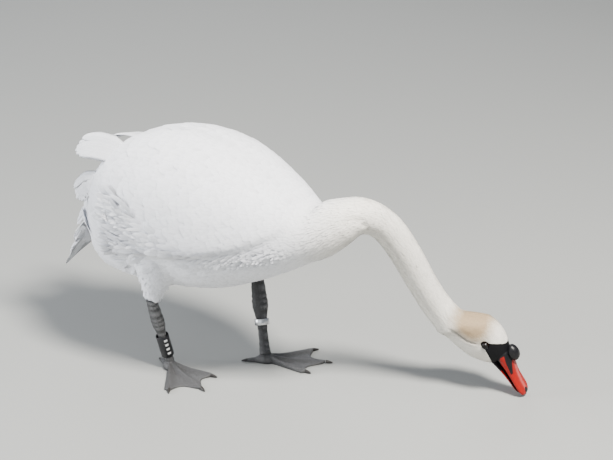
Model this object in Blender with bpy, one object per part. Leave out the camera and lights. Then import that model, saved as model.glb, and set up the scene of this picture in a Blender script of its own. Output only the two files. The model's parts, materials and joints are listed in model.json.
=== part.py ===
"""A grazing mute swan, life size: a still museum model parted where a person would name its parts.

Metres, +Z up. The bird is shaped heading along +X with its left side towards +Y and the ground at
Z = 0, from an origin midway between its feet. At the end everything is moved in X and Y, so that
the origin is at the bottom centre of the whole model's box.
"""

import math

import bmesh
import bpy
from mathutils import Matrix, Vector

# ---------------------------------------------------------------- driving sizes

GAP = 0.0003            # clearance between touching solids
CUT_SWELL = 0.0005      # how far a cutter stands proud of the solid it copies
TRUNK_SIDES = 28        # points round a section of the trunk
TRUNK_FULLNESS = 2.15   # how square a section of the trunk is, where 2 is an oval
NECK_SIDES = 18         # points round a section of the neck

# Trunk, as heights of the back and belly and half the breadth, against the place along X.
BACK = ((-0.280, 0.262), (-0.262, 0.308), (-0.23, 0.352), (-0.16, 0.405), (-0.06, 0.434),
        (0.04, 0.427), (0.13, 0.389), (0.19, 0.361), (0.225, 0.358))
BELLY = ((-0.280, 0.198), (-0.262, 0.159), (-0.23, 0.143), (-0.16, 0.141), (-0.06, 0.148),
         (0.04, 0.167), (0.13, 0.205), (0.19, 0.237), (0.225, 0.258))
HALF_BREADTH = ((-0.280, 0.022), (-0.262, 0.050), (-0.23, 0.074), (-0.16, 0.104), (-0.06, 0.122),
                (0.04, 0.121), (0.13, 0.097), (0.19, 0.069), (0.225, 0.054))
TRUNK_PLACES = (-0.280, -0.271, -0.252, -0.223, -0.185, -0.14, -0.09, -0.04, 0.01, 0.055,
                0.10, 0.135, 0.165, 0.19, 0.21, 0.225)

# Neck: the middle of each section and its radius, from the breast to the nape.
NECK_LINE = (((0.225, 0.000, 0.310), 0.0540), ((0.257, 0.012, 0.333), 0.0435),
             ((0.284, 0.036, 0.343), 0.0335), ((0.3075, 0.071, 0.318), 0.0305),
             ((0.3284, 0.099, 0.269), 0.0296), ((0.3468, 0.1248, 0.2108), 0.0286),
             ((0.3648, 0.1471, 0.1630), 0.0285), ((0.3818, 0.1628, 0.1330), 0.0305))
NECK_LENGTHS = ("neck_root", "neck_base", "neck_arch", "neck_middle", "neck_upper")
NECK_CUTS = (0.0, 0.17, 0.33, 0.53, 0.76, 1.0)     # where the lengths part, as shares of its line
NECK_RINGS = 5                          # sections in each length
NECK_TURN_IN = 0.12                     # share of the line over which the sections turn from the trunk's face

# Head: its middle between the eyes, the direction of the bill, and its roll to the right.
BILL_TIP = Vector((0.5114, 0.2234, 0.0054))
BILL_REACH = 0.118                      # eye to tip of bill
HEAD_YAW = math.radians(24.0)           # to the left of the body's heading
HEAD_PITCH = math.radians(-54.2)
HEAD_ROLL = math.radians(14.0)

# Head profile: place ahead of the eyes, height of crown, of throat, half the breadth.
HEAD_BLEND = 0.030                      # length over which the neck's section turns into the head's
HEAD_PROFILE = ((-0.062, 0.001, -0.067, 0.0310), (-0.045, 0.0185, -0.067, 0.0325),
                (-0.026, 0.0280, -0.0635, 0.0330), (-0.010, 0.0310, -0.0585, 0.0325),
                (0.006, 0.0295, -0.0520, 0.0305), (0.019, 0.0262, -0.0425, 0.0265),
                (0.029, 0.0230, -0.0340, 0.0225), (0.0365, 0.0195, -0.0260, 0.0195))
BILL_PROFILE = ((0.0368, 0.0190, -0.0090, 0.0180), (0.048, 0.0170, -0.0085, 0.0168),
                (0.060, 0.0130, -0.0080, 0.0158), (0.073, 0.0080, -0.0075, 0.0158),
                (0.087, 0.0045, -0.0070, 0.0170), (0.100, 0.0025, -0.0068, 0.0176),
                (0.109, 0.0012, -0.0070, 0.0155), (0.115, -0.0005, -0.0078, 0.0105),
                (0.118, -0.0030, -0.0085, 0.0045))
JAW_PROFILE = ((0.0368, -0.0093, -0.0195, 0.0150), (0.052, -0.0088, -0.0165, 0.0140),
               (0.068, -0.0083, -0.0142, 0.0132), (0.085, -0.0078, -0.0125, 0.0136),
               (0.099, -0.0076, -0.0115, 0.0132), (0.107, -0.0079, -0.0105, 0.0095),
               (0.1105, -0.0083, -0.0098, 0.0045))
KNOB_MIDDLE = Vector((0.0385, 0.0, 0.0232))
KNOB_HALF = Vector((0.0155, 0.0108, 0.0108))
EYE_PLACE = Vector((-0.003, 0.0268, 0.001))
EYE_RADIUS = 0.0068

# Folded wings: how thick they lie on the trunk and how far round it their lower edge comes, along X.
WING_THICKNESS = ((-0.237, 0.0120), (-0.22, 0.0175), (-0.18, 0.0185), (-0.12, 0.0170), (-0.04, 0.0150),
                  (0.05, 0.0125), (0.12, 0.0095), (0.165, 0.0070), (0.192, 0.0040))
WING_EDGE_ANGLE = ((-0.237, 8.0), (-0.22, -8.0), (-0.18, -17.0), (-0.12, -19.0), (-0.04, -17.0),
                   (0.05, -13.0), (0.12, -6.0), (0.165, 6.0), (0.192, 24.0))
WING_PLACES = (-0.237, -0.232, -0.221, -0.202, -0.172, -0.135, -0.09, -0.045, 0.0, 0.04, 0.08, 0.115,
               0.145, 0.168, 0.183, 0.192)
WING_ARC = 13           # points across the outside of a wing's section
WING_PARTING = 0.0015   # half the parting between the two wings along the back

# Feather bundles behind each wing: middle line, half breadths, half thickness and the flat's lean.
TERTIALS = {"line": ((-0.170, 0.050, 0.386), (-0.202, 0.052, 0.392), (-0.232, 0.053, 0.392),
                     (-0.259, 0.052, 0.385), (-0.284, 0.050, 0.371)),
            "half": (0.022, 0.025, 0.026, 0.024, 0.010), "thick": 0.0030, "lean": 42.0}
SECONDARIES = {"line": ((-0.189, 0.078, 0.325), (-0.219, 0.074, 0.327), (-0.246, 0.066, 0.318),
                        (-0.266, 0.060, 0.298), (-0.276, 0.057, 0.276)),
               "half": (0.022, 0.024, 0.023, 0.018, 0.006), "thick": 0.0028, "lean": 60.0}
PRIMARIES = {"line": ((-0.215, 0.056, 0.285), (-0.250, 0.042, 0.274), (-0.280, 0.028, 0.254),
                      (-0.305, 0.018, 0.229), (-0.322, 0.012, 0.206)),
             "half": (0.012, 0.013, 0.012, 0.008, 0.003), "thick": 0.0026, "lean": 60.0}
LEFT_LIFT = Vector((-0.005, 0.0, -0.003))   # how much further back and lower the left wing's tips lie

# Tail: a drooping wedge, from the rump to its point.
TAIL = {"line": ((-0.235, 0.0, 0.262), (-0.268, 0.0, 0.232), (-0.305, 0.0, 0.190),
                 (-0.338, 0.0, 0.150), (-0.358, 0.0, 0.124), (-0.368, 0.0, 0.110)),
        "half": (0.050, 0.052, 0.048, 0.036, 0.020, 0.004),
        "thick": (0.030, 0.017, 0.0085, 0.0042, 0.0026, 0.0018)}

# Legs: hip, hock and foot joint of the right leg and of the left one, and where the toes point.
LEGS = {"R": {"hip": (-0.071, -0.076, 0.235), "hock": (-0.0753, -0.079, 0.1006),
              "foot": (-0.0685, -0.057, 0.016), "toes": -24.0},
        "L": {"hip": (0.027, 0.078, 0.245), "hock": (0.0279, 0.0857, 0.109),
              "foot": (0.0555, 0.065, 0.016), "toes": 36.0}}
THIGH_RADII = (0.046, 0.042, 0.035, 0.0270, 0.0190, 0.0142)
BARE_TIBIA = 0.044                      # bare shin above the hock
FEATHERED_FROM = 0.82                   # the share of it that the feathers leave bare
SHANK_RADII = ((0.0, 0.0088, 0.0108), (0.12, 0.0098, 0.0124), (0.24, 0.0105, 0.0132),
               (0.35, 0.0115, 0.0147), (0.44, 0.0104, 0.0133), (0.54, 0.0074, 0.0100),
               (0.72, 0.0058, 0.0084), (0.88, 0.0066, 0.0090), (1.0, 0.0085, 0.0105))
SHANK_SIDES = 12
TOE_ANGLES = (-33.0, -4.0, 27.0)        # inner, middle and outer toe from the foot's middle line
TOE_LENGTHS = (0.088, 0.112, 0.099)
TOE_HALF_WIDTH = 0.0065
WEB_THICK = 0.0028
TOE_THICK = 0.0095
HEEL_RADIUS = 0.0135
FOOT_FAN = 19                           # rays across the web
FOOT_STEPS = 5                          # rings outwards along each ray
CLAW_LENGTH = 0.012
CLAW_RADIUS = 0.0030

# Rings that the bird wears: a tall plastic one on the right leg and a narrow metal one on the left.
RING_SIDES = 20
PLASTIC_RING = {"at": 0.622, "height": 0.043, "inner": 0.0108, "outer": 0.0118}
METAL_RING = {"at": 0.413, "height": 0.011, "inner": 0.0122, "outer": 0.0133}

COLOURS = {
    "plumage": ((0.86, 0.86, 0.87), 0.8, 0.0),
    "neck_plumage": ((0.84, 0.82, 0.78), 0.8, 0.0),
    "head_plumage": ((0.74, 0.67, 0.57), 0.8, 0.0),
    "bill": ((0.80, 0.13, 0.05), 0.35, 0.0),
    "knob": ((0.012, 0.012, 0.014), 0.4, 0.0),
    "eye": ((0.010, 0.008, 0.007), 0.08, 0.0),
    "leg_skin": ((0.055, 0.055, 0.062), 0.6, 0.0),
    "claw": ((0.018, 0.017, 0.018), 0.4, 0.0),
    "plastic_ring": ((0.015, 0.015, 0.017), 0.35, 0.0),
    "metal_ring": ((0.60, 0.61, 0.62), 0.35, 1.0),
}

# ---------------------------------------------------------------- scene and materials


def clear_scene():
    for thing in list(bpy.data.objects):
        bpy.data.objects.remove(thing, do_unlink=True)


def new_collection(name, hidden=False):
    group = bpy.data.collections.new(name)
    bpy.context.scene.collection.children.link(group)
    group.hide_render = hidden
    return group


def new_material(name):
    colour, roughness, metallic = COLOURS[name]
    made = bpy.data.materials.new(name)
    made.use_nodes = True
    shader = made.node_tree.nodes["Principled BSDF"]
    shader.inputs["Base Color"].default_value = (*colour, 1.0)
    shader.inputs["Roughness"].default_value = roughness
    shader.inputs["Metallic"].default_value = metallic
    return made


# ---------------------------------------------------------------- shaping helpers


def read(knots, x, column=1):
    """A smooth curve through the knots (place, value, ...), read at x."""
    places = [knot[0] for knot in knots]
    values = [knot[column] for knot in knots]
    x = min(max(x, places[0]), places[-1])
    slot = max(i for i in range(len(places) - 1) if places[i] <= x or i == 0)
    start, end = places[slot], places[slot + 1]
    share = (x - start) / (end - start)

    def slope(i):
        before, after = max(i - 1, 0), min(i + 1, len(places) - 1)
        return (values[after] - values[before]) / (places[after] - places[before])

    span = end - start
    square, cube = share ** 2, share ** 3
    return ((2 * cube - 3 * square + 1) * values[slot] + (cube - 2 * square + share) * span * slope(slot)
            + (3 * square - 2 * cube) * values[slot + 1] + (cube - square) * span * slope(slot + 1))


def read_line(points, share):
    """A point on the smooth line through points, at a share of its length from 0 to 1."""
    points = [Vector(point) for point in points]
    lengths = [0.0]
    for before, after in zip(points, points[1:]):
        lengths.append(lengths[-1] + (after - before).length)
    knots = [(length / lengths[-1], *point) for length, point in zip(lengths, points)]
    return Vector([read(knots, share, axis) for axis in (1, 2, 3)])


def line_heading(points, share):
    step = 0.01
    return (read_line(points, min(share + step, 1.0)) - read_line(points, max(share - step, 0.0))).normalized()


def across(heading, up):
    """The right-handed side and true up of a section that faces along heading."""
    side = up.cross(heading).normalized()
    return side, heading.cross(side).normalized()


def section(middle, side, up, half_side, half_up, half_down, sides, fullness=2.0):
    """One closed ring: an oval whose upper and lower halves have their own heights."""
    ring = []
    for step in range(sides):
        angle = 2.0 * math.pi * step / sides
        cosine, sine = math.cos(angle), math.sin(angle)
        wide = math.copysign(abs(cosine) ** (2.0 / fullness), cosine) * half_side
        high = math.copysign(abs(sine) ** (2.0 / fullness), sine) * (half_up if sine >= 0 else half_down)
        ring.append(middle + side * wide + up * high)
    return ring


def loft(name, rings):
    """A closed mesh through rings of equal count, with a flat cap at each end."""
    shape = bmesh.new()
    rows = [[shape.verts.new(point) for point in ring] for ring in rings]
    count = len(rows[0])
    for row, following in zip(rows, rows[1:]):
        for i in range(count):
            j = (i + 1) % count
            shape.faces.new((row[i], row[j], following[j], following[i]))
    shape.faces.new(rows[0])
    shape.faces.new(rows[-1])
    bmesh.ops.recalc_face_normals(shape, faces=shape.faces)
    mesh = bpy.data.meshes.new(name)
    shape.to_mesh(mesh)
    shape.free()
    return mesh


def add_node(name, mesh, group, material, smooth=True):
    thing = bpy.data.objects.new(name, mesh)
    mesh.materials.clear()
    mesh.materials.append(material)
    if smooth:
        mesh.shade_smooth()
    group.objects.link(thing)
    return thing


def swollen_copy(thing, cutters, swell):
    """A hidden cutter shaped like thing, standing proud of it by swell."""
    graph = bpy.context.evaluated_depsgraph_get()
    graph.update()
    mesh = bpy.data.meshes.new_from_object(thing.evaluated_get(graph))
    shape = bmesh.new()
    shape.from_mesh(mesh)
    bmesh.ops.remove_doubles(shape, verts=shape.verts, dist=0.00002)
    bmesh.ops.triangulate(shape, faces=shape.faces)
    shape.normal_update()
    moves = [(vert, vert.normal * swell) for vert in shape.verts]
    for vert, move in moves:
        vert.co += move
    shape.to_mesh(mesh)
    shape.free()
    cutter = bpy.data.objects.new("cutter_" + thing.name, mesh)
    cutter.hide_render = True
    cutter.display_type = "WIRE"
    cutters.objects.link(cutter)
    return cutter


def apply_modifiers(thing):
    graph = bpy.context.evaluated_depsgraph_get()
    graph.update()
    mesh = bpy.data.meshes.new_from_object(thing.evaluated_get(graph))
    thing.modifiers.clear()
    thing.data = mesh


def carve(thing, neighbours, cutters, swell=CUT_SWELL):
    """Cuts thing back to clear each neighbour, and keeps its largest remaining body."""
    for neighbour in neighbours:
        cut = thing.modifiers.new("clear_" + neighbour.name, "BOOLEAN")
        cut.operation = "DIFFERENCE"
        cut.solver = "EXACT"
        cut.object = swollen_copy(neighbour, cutters, swell)
    apply_modifiers(thing)
    keep_largest_body(thing)


def bodies_of(shape):
    """The separate bodies of a mesh, each as a set of its points."""
    unseen = set(shape.verts)
    bodies = []
    while unseen:
        front = [unseen.pop()]
        body = set(front)
        while front:
            vert = front.pop()
            for edge in vert.link_edges:
                other = edge.other_vert(vert)
                if other in unseen:
                    unseen.discard(other)
                    body.add(other)
                    front.append(other)
        bodies.append(body)
    return bodies


def volume_of(body):
    """Six times the volume inside one triangulated body."""
    faces = {face for vert in body for face in vert.link_faces}
    return sum(face.verts[0].co.dot(face.verts[1].co.cross(face.verts[2].co)) for face in faces)


def keep_largest_body(thing):
    """Drops the small crumbs that a cut may leave behind."""
    shape = bmesh.new()
    shape.from_mesh(thing.data)
    bmesh.ops.remove_doubles(shape, verts=shape.verts, dist=0.00001)
    bmesh.ops.triangulate(shape, faces=shape.faces)
    bmesh.ops.recalc_face_normals(shape, faces=shape.faces)
    bodies = sorted(bodies_of(shape), key=volume_of, reverse=True)
    for body in bodies[1:]:
        bmesh.ops.delete(shape, geom=list(body), context="VERTS")
    shape.to_mesh(thing.data)
    shape.free()


# ---------------------------------------------------------------- trunk and neck


def trunk_rings():
    rings = []
    for place in TRUNK_PLACES:
        back, belly = read(BACK, place), read(BELLY, place)
        middle = Vector((place, 0.0, (back + belly) / 2.0))
        half = (back - belly) / 2.0
        rings.append(section(middle, Vector((0, 1, 0)), Vector((0, 0, 1)),
                             read(HALF_BREADTH, place), half, half, TRUNK_SIDES,
                             TRUNK_FULLNESS))
    return rings


def head_axes():
    """The head's own forward, left and up, as the columns of a matrix."""
    forward = Vector((math.cos(HEAD_PITCH) * math.cos(HEAD_YAW),
                      math.cos(HEAD_PITCH) * math.sin(HEAD_YAW), math.sin(HEAD_PITCH)))
    left, up = across(forward, Vector((0, 0, 1)))
    roll = Matrix.Rotation(HEAD_ROLL, 3, forward)
    return Matrix((forward, roll @ left, roll @ up)).transposed()


def head_place():
    """Turns the head's own coordinates into the bird's."""
    axes = head_axes()
    middle = BILL_TIP - axes @ Vector((BILL_REACH, 0, 0))
    return Matrix.Translation(middle) @ axes.to_4x4()


def neck_section(share, nudge=0.0):
    points = [point for point, _ in NECK_LINE]
    lengths = [0.0]
    for before, after in zip(points, points[1:]):
        lengths.append(lengths[-1] + (Vector(after) - Vector(before)).length)
    radii = [(length / lengths[-1], radius) for length, (_, radius) in zip(lengths, NECK_LINE)]
    heading = line_heading(points, share)
    heading = Vector((1, 0, 0)).lerp(heading, min(1.0, share / NECK_TURN_IN)).normalized()
    wanted_up = Vector((0, 0, 1)).lerp(head_axes().col[2], min(1.0, share * 1.4)).normalized()
    side, up = across(heading, wanted_up)
    radius = read(radii, share)
    middle = read_line(points, share) + heading * nudge
    return section(middle, side, up, radius * 0.97, radius, radius, NECK_SIDES)


def neck_rings(start, end):
    """Sections from start to end of the neck's line, drawn in by the gap at each end."""
    rings = []
    for step in range(NECK_RINGS):
        share = start + (end - start) * step / (NECK_RINGS - 1)
        nudge = GAP if step == 0 else 0.0
        rings.append(neck_section(share, nudge))
    return rings


# ---------------------------------------------------------------- head and bill


def profile_rings(place, profile, steps, sides, fullness):
    """Sections of a head or bill part, with their own heights above and below the axis."""
    first, last = profile[0][0], profile[-1][0]
    rings = []
    for step in range(steps):
        x = first + (last - first) * math.sin(math.pi / 2 * step / (steps - 1))
        high, low, half = (read(profile, x, column) for column in (1, 2, 3))
        middle = Vector((x, 0.0, (high + low) / 2.0))
        ring = section(middle, Vector((0, 1, 0)), Vector((0, 0, 1)), half,
                       (high - low) / 2.0, (high - low) / 2.0, sides, fullness)
        rings.append([place @ point for point in ring])
    return rings


def head_rings(place):
    """From the neck's last section, turning bit by bit into the head's own profile."""
    nape = neck_section(1.0, GAP)
    forward = place.to_3x3().col[0]
    nape_place = (place.inverted() @ (sum(nape, Vector()) / len(nape))).x
    own = profile_rings(place, HEAD_PROFILE, 13, NECK_SIDES, 2.1)
    rings = [nape]
    for ring in own:
        reach = (place.inverted() @ (sum(ring, Vector()) / len(ring))).x
        share = min(1.0, (reach - nape_place) / HEAD_BLEND)
        share = share * share * (3.0 - 2.0 * share)
        carried = [point + forward * (reach - nape_place) for point in nape]
        rings.append([before.lerp(after, share) for before, after in zip(carried, ring)])
    return rings


def ball(name, middle, half, place, segments=14, rings=8):
    shape = bmesh.new()
    bmesh.ops.create_uvsphere(shape, u_segments=segments, v_segments=rings, radius=1.0)
    for vert in shape.verts:
        vert.co = place @ (middle + Vector([vert.co[i] * half[i] for i in range(3)]))
    bmesh.ops.recalc_face_normals(shape, faces=shape.faces)
    mesh = bpy.data.meshes.new(name)
    shape.to_mesh(mesh)
    shape.free()
    return mesh


# ---------------------------------------------------------------- wings, feather bundles and tail


def trunk_outline(place, angle):
    """A point (outwards, upwards) of the trunk's section at an angle above the horizontal."""
    back, belly = read(BACK, place), read(BELLY, place)
    cosine, sine = math.cos(angle), math.sin(angle)
    power = 2.0 / TRUNK_FULLNESS
    return (math.copysign(abs(cosine) ** power, cosine) * read(HALF_BREADTH, place),
            (back + belly) / 2.0 + math.copysign(abs(sine) ** power, sine) * (back - belly) / 2.0)


def wing_rings(turn):
    """The folded wing: it follows the trunk at its own thickness, and its inside lies in the trunk."""
    rings = []
    for place in WING_PLACES:
        thick = read(WING_THICKNESS, place)
        lowest = math.radians(read(WING_EDGE_ANGLE, place))
        outer, inner = [], []
        for step in range(WING_ARC):
            share = step / (WING_ARC - 1)
            angle = math.radians(88.0) + (lowest - math.radians(88.0)) * share
            wide, high = trunk_outline(place, angle)
            before, after = trunk_outline(place, angle + 0.02), trunk_outline(place, angle - 0.02)
            along = Vector((after[0] - before[0], after[1] - before[1])).normalized()
            swell = thick * (0.72 + 0.28 * math.sin(math.pi * min(1.0, share * 1.25)))
            outer.append((max(WING_PARTING, wide - along.y * swell), high + along.x * swell))
            inner.append((max(WING_PARTING, wide * 0.72), high + (read(BELLY, place) - high) * 0.20))
        ring = [Vector((place, turn * wide, high)) for wide, high in outer + inner[::-1]]
        rings.append(ring)
    return rings


def blade_rings(bundle, turn, lift, steps=8, sides=8):
    """A flat, slightly arched bundle of feathers that runs along its own line."""
    points = [Vector((x, turn * y, z)) + lift for x, y, z in bundle["line"]]
    count = len(points) - 1
    rings = []
    for step in range(steps):
        share = step / (steps - 1)
        heading = line_heading(points, share)
        lean = math.radians(bundle.get("lean", 0.0)) * turn
        flat_up = Vector((0, -math.sin(lean) * -1.0, math.cos(lean)))
        side, up = across(heading, flat_up)
        half = read([(i / count, value) for i, value in enumerate(bundle["half"])], share)
        thick = bundle["thick"]
        if isinstance(thick, tuple):
            thick = read([(i / count, value) for i, value in enumerate(thick)], share)
        rings.append(section(read_line(points, share), side, up, half, thick, thick, sides, 2.0))
    return rings


# ---------------------------------------------------------------- legs and feet


def tube_between(start, end, radii, sides):
    """A straight limb from start to end, with its radii spread evenly along it."""
    start, end = Vector(start), Vector(end)
    heading = (end - start).normalized()
    side, up = across(heading, Vector((1, 0, 0)))
    rings = []
    for step, radius in enumerate(radii):
        middle = start.lerp(end, step / (len(radii) - 1))
        rings.append(section(middle, side, up, radius, radius * 1.15, radius * 1.15, sides))
    return rings


def thigh_end(leg):
    """Where the feathers stop, a little below the top of the bare shin."""
    hock, foot = Vector(leg["hock"]), Vector(leg["foot"])
    return hock - (foot - hock).normalized() * (BARE_TIBIA * FEATHERED_FROM)


def shank_rings(leg):
    hock, foot = Vector(leg["hock"]), Vector(leg["foot"])
    heading = (foot - hock).normalized()
    toes = math.radians(leg["toes"])
    side, up = across(heading, Vector((math.cos(toes), math.sin(toes), 0)))
    start = hock - heading * BARE_TIBIA
    rings = []
    for share, half_side, half_deep in SHANK_RADII:
        middle = start.lerp(foot, share)
        rings.append(section(middle, side, up, half_side, half_deep, half_deep, SHANK_SIDES))
    return rings


def toe_direction(leg, index):
    outward = 1.0 if leg is LEGS["L"] else -1.0
    angle = math.radians(leg["toes"] + outward * TOE_ANGLES[index])
    return Vector((math.cos(angle), math.sin(angle), 0.0))


def foot_outline(degrees):
    """Reach of the web at an angle: full at the toes, scalloped between them."""
    for low, high in ((0, 1), (1, 2)):
        if TOE_ANGLES[low] <= degrees <= TOE_ANGLES[high]:
            share = (degrees - TOE_ANGLES[low]) / (TOE_ANGLES[high] - TOE_ANGLES[low])
            reach = TOE_LENGTHS[low] + (TOE_LENGTHS[high] - TOE_LENGTHS[low]) * share
            return reach * (1.0 - 0.20 * math.sin(math.pi * share))
    past = min(abs(degrees - TOE_ANGLES[0]), abs(degrees - TOE_ANGLES[-1]))
    end = TOE_LENGTHS[0] if degrees < TOE_ANGLES[0] else TOE_LENGTHS[-1]
    limit = math.degrees(TOE_HALF_WIDTH / end)
    if past <= limit:
        return end
    return HEEL_RADIUS


def foot_mesh(name, leg):
    """A webbed foot with a flat sole at Z = 0: three toes, the webs between and a small hind toe."""
    outward = 1.0 if leg is LEGS["L"] else -1.0
    joint = Vector((leg["foot"][0], leg["foot"][1], 0.0))
    spread = [TOE_ANGLES[0] - 5.0 + (TOE_ANGLES[-1] - TOE_ANGLES[0] + 10.0) * i / (FOOT_FAN - 1)
              for i in range(FOOT_FAN)]
    shape = bmesh.new()
    top, bottom = [], []
    for degrees in spread:
        reach = foot_outline(min(max(degrees, TOE_ANGLES[0]), TOE_ANGLES[-1]))
        if degrees < TOE_ANGLES[0] - 3.5 or degrees > TOE_ANGLES[-1] + 3.5:
            reach *= 0.93
        angle = math.radians(leg["toes"] + outward * degrees)
        ray = Vector((math.cos(angle), math.sin(angle), 0.0))
        row_top, row_bottom = [], []
        for step in range(1, FOOT_STEPS + 1):
            out = 0.010 + (reach - 0.010) * step / FOOT_STEPS
            off = min(abs(math.sin(math.radians(degrees - toe))) * out for toe in TOE_ANGLES)
            ridge = math.exp(-(off / TOE_HALF_WIDTH) ** 2)
            taper = 1.0 - 0.55 * (out / TOE_LENGTHS[1]) ** 1.5
            height = WEB_THICK + (TOE_THICK - WEB_THICK) * ridge * taper
            height += 0.008 * max(0.0, 1.0 - out / 0.035)
            row_top.append(shape.verts.new(joint + ray * out + Vector((0, 0, height))))
            row_bottom.append(shape.verts.new(joint + ray * out))
        top.append(row_top)
        bottom.append(row_bottom)
    heel_low = shape.verts.new(joint)
    heel_high = shape.verts.new(joint + Vector((0, 0, 0.0175)))
    for rows, centre in ((top, heel_high), (bottom, heel_low)):
        for ray, following in zip(rows, rows[1:]):
            shape.faces.new((centre, ray[0], following[0]))
            for i in range(FOOT_STEPS - 1):
                shape.faces.new((ray[i], ray[i + 1], following[i + 1], following[i]))
    for ray_top, next_top, ray_low, next_low in zip(top, top[1:], bottom, bottom[1:]):
        shape.faces.new((ray_top[-1], next_top[-1], next_low[-1], ray_low[-1]))
    for row_top, row_low in ((top[0], bottom[0]), (top[-1], bottom[-1])):
        shape.faces.new((heel_high, row_top[0], row_low[0], heel_low))
        for i in range(FOOT_STEPS - 1):
            shape.faces.new((row_top[i], row_top[i + 1], row_low[i + 1], row_low[i]))
    bmesh.ops.recalc_face_normals(shape, faces=shape.faces)
    mesh = bpy.data.meshes.new(name)
    shape.to_mesh(mesh)
    shape.free()
    return mesh


def heel_mesh(name, leg):
    """The pad under the ankle, with a flat sole and the hind toe behind it."""
    joint = Vector((leg["foot"][0], leg["foot"][1], 0.0))
    back = math.radians(leg["toes"] + 180.0)
    ray = Vector((math.cos(back), math.sin(back), 0.0))
    rings = []
    for out, half, high in ((-0.016, 0.0090, 0.0120), (-0.008, 0.0125, 0.0165), (0.002, 0.0125, 0.0165),
                            (0.010, 0.0090, 0.0130), (0.018, 0.0052, 0.0090), (0.029, 0.0040, 0.0075),
                            (0.034, 0.0022, 0.0055)):
        low = 0.0 if out < 0.012 else 0.0012
        side = Vector((-ray.y, ray.x, 0.0))
        ring = []
        for angle in (0, 36, 72, 108, 144, 180):
            turn = math.radians(angle)
            ring.append(joint + ray * out + side * half * math.cos(turn)
                        + Vector((0, 0, low + (high - low) * (0.30 + 0.70 * math.sin(turn)))))
        ring.append(joint + ray * out - side * half * 0.85 + Vector((0, 0, low)))
        ring.append(joint + ray * out + side * half * 0.85 + Vector((0, 0, low)))
        rings.append(ring)
    return loft(name, rings)


def claw_mesh(name, start, direction, lift):
    """A short blunt claw that points along direction from start."""
    side, up = across(direction, Vector((0, 0, 1)))
    rings = []
    for share in (0.0, 0.35, 0.7, 1.0):
        radius = CLAW_RADIUS * (1.0 - 0.72 * share ** 1.4)
        middle = start + direction * CLAW_LENGTH * share + Vector((0, 0, lift * (1.0 - 0.45 * share)))
        rings.append(section(middle, side, up, radius, radius, radius, 8))
    return loft(name, rings)


def ring_mesh(name, leg, sizes):
    """A leg ring: an open tube round the shank."""
    hock, foot = Vector(leg["hock"]), Vector(leg["foot"])
    heading = (foot - hock).normalized()
    side, up = across(heading, Vector((1, 0, 0)))
    middle = hock.lerp(foot, sizes["at"])
    half = sizes["height"] / 2.0
    shape = bmesh.new()
    rows = []
    for radius, along in ((sizes["outer"], -half), (sizes["outer"], half),
                          (sizes["inner"], half), (sizes["inner"], -half)):
        row = section(middle + heading * along, side, up, radius, radius, radius, RING_SIDES)
        rows.append([shape.verts.new(point) for point in row])
    for row, following in zip(rows, rows[1:] + rows[:1]):
        for i in range(RING_SIDES):
            j = (i + 1) % RING_SIDES
            shape.faces.new((row[i], row[j], following[j], following[i]))
    bmesh.ops.recalc_face_normals(shape, faces=shape.faces)
    mesh = bpy.data.meshes.new(name)
    shape.to_mesh(mesh)
    shape.free()
    return mesh


# ---------------------------------------------------------------- assembly


def build_body(swan, paint):
    for name, start, end in zip(NECK_LENGTHS, NECK_CUTS, NECK_CUTS[1:]):
        add_node(name, loft(name, neck_rings(start, end)), swan, paint["neck_plumage"])
    return add_node("trunk", loft("trunk", trunk_rings()), swan, paint["plumage"])


def build_head(swan, cutters, paint):
    place = head_place()
    head = add_node("head", loft("head", head_rings(place)), swan, paint["head_plumage"])
    upper = add_node("bill_upper", loft("bill_upper", profile_rings(place, BILL_PROFILE, 12, 14, 2.2)),
                     swan, paint["bill"])
    lower = add_node("bill_lower", loft("bill_lower", profile_rings(place, JAW_PROFILE, 9, 12, 2.2)),
                     swan, paint["knob"])
    knob = add_node("bill_knob", ball("bill_knob", KNOB_MIDDLE, KNOB_HALF, place), swan, paint["knob"])
    eyes = []
    for letter, turn in (("L", 1.0), ("R", -1.0)):
        spot = Vector((EYE_PLACE.x, EYE_PLACE.y * turn, EYE_PLACE.z))
        name = "eye_" + letter
        eyes.append(add_node(name, ball(name, spot, Vector((EYE_RADIUS,) * 3), place, 12, 8),
                             swan, paint["eye"]))
    carve(head, eyes, cutters)
    carve(knob, [head, upper], cutters)
    carve(lower, [upper], cutters)


def build_wings(swan, cutters, paint, trunk, tail):
    wings = {}
    for letter, turn in (("L", 1.0), ("R", -1.0)):
        lift = LEFT_LIFT if letter == "L" else Vector()
        wing = add_node("wing_" + letter, loft("wing_" + letter, wing_rings(turn)), swan, paint["plumage"])
        carve(wing, [trunk], cutters)
        wings[letter] = wing
        placed = [trunk, wing, tail]
        for label, bundle in (("tertials", TERTIALS), ("secondaries", SECONDARIES),
                              ("primaries", PRIMARIES)):
            name = "_".join(("wing", letter, label))
            blade = add_node(name, loft(name, blade_rings(bundle, turn, lift)), swan, paint["plumage"])
            carve(blade, placed, cutters)
            placed.append(blade)
    return wings


def build_tail(swan, cutters, paint, trunk):
    tail = add_node("tail", loft("tail", blade_rings(TAIL, 1.0, Vector(), 10, 14)), swan, paint["plumage"])
    carve(tail, [trunk], cutters)
    return tail


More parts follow.
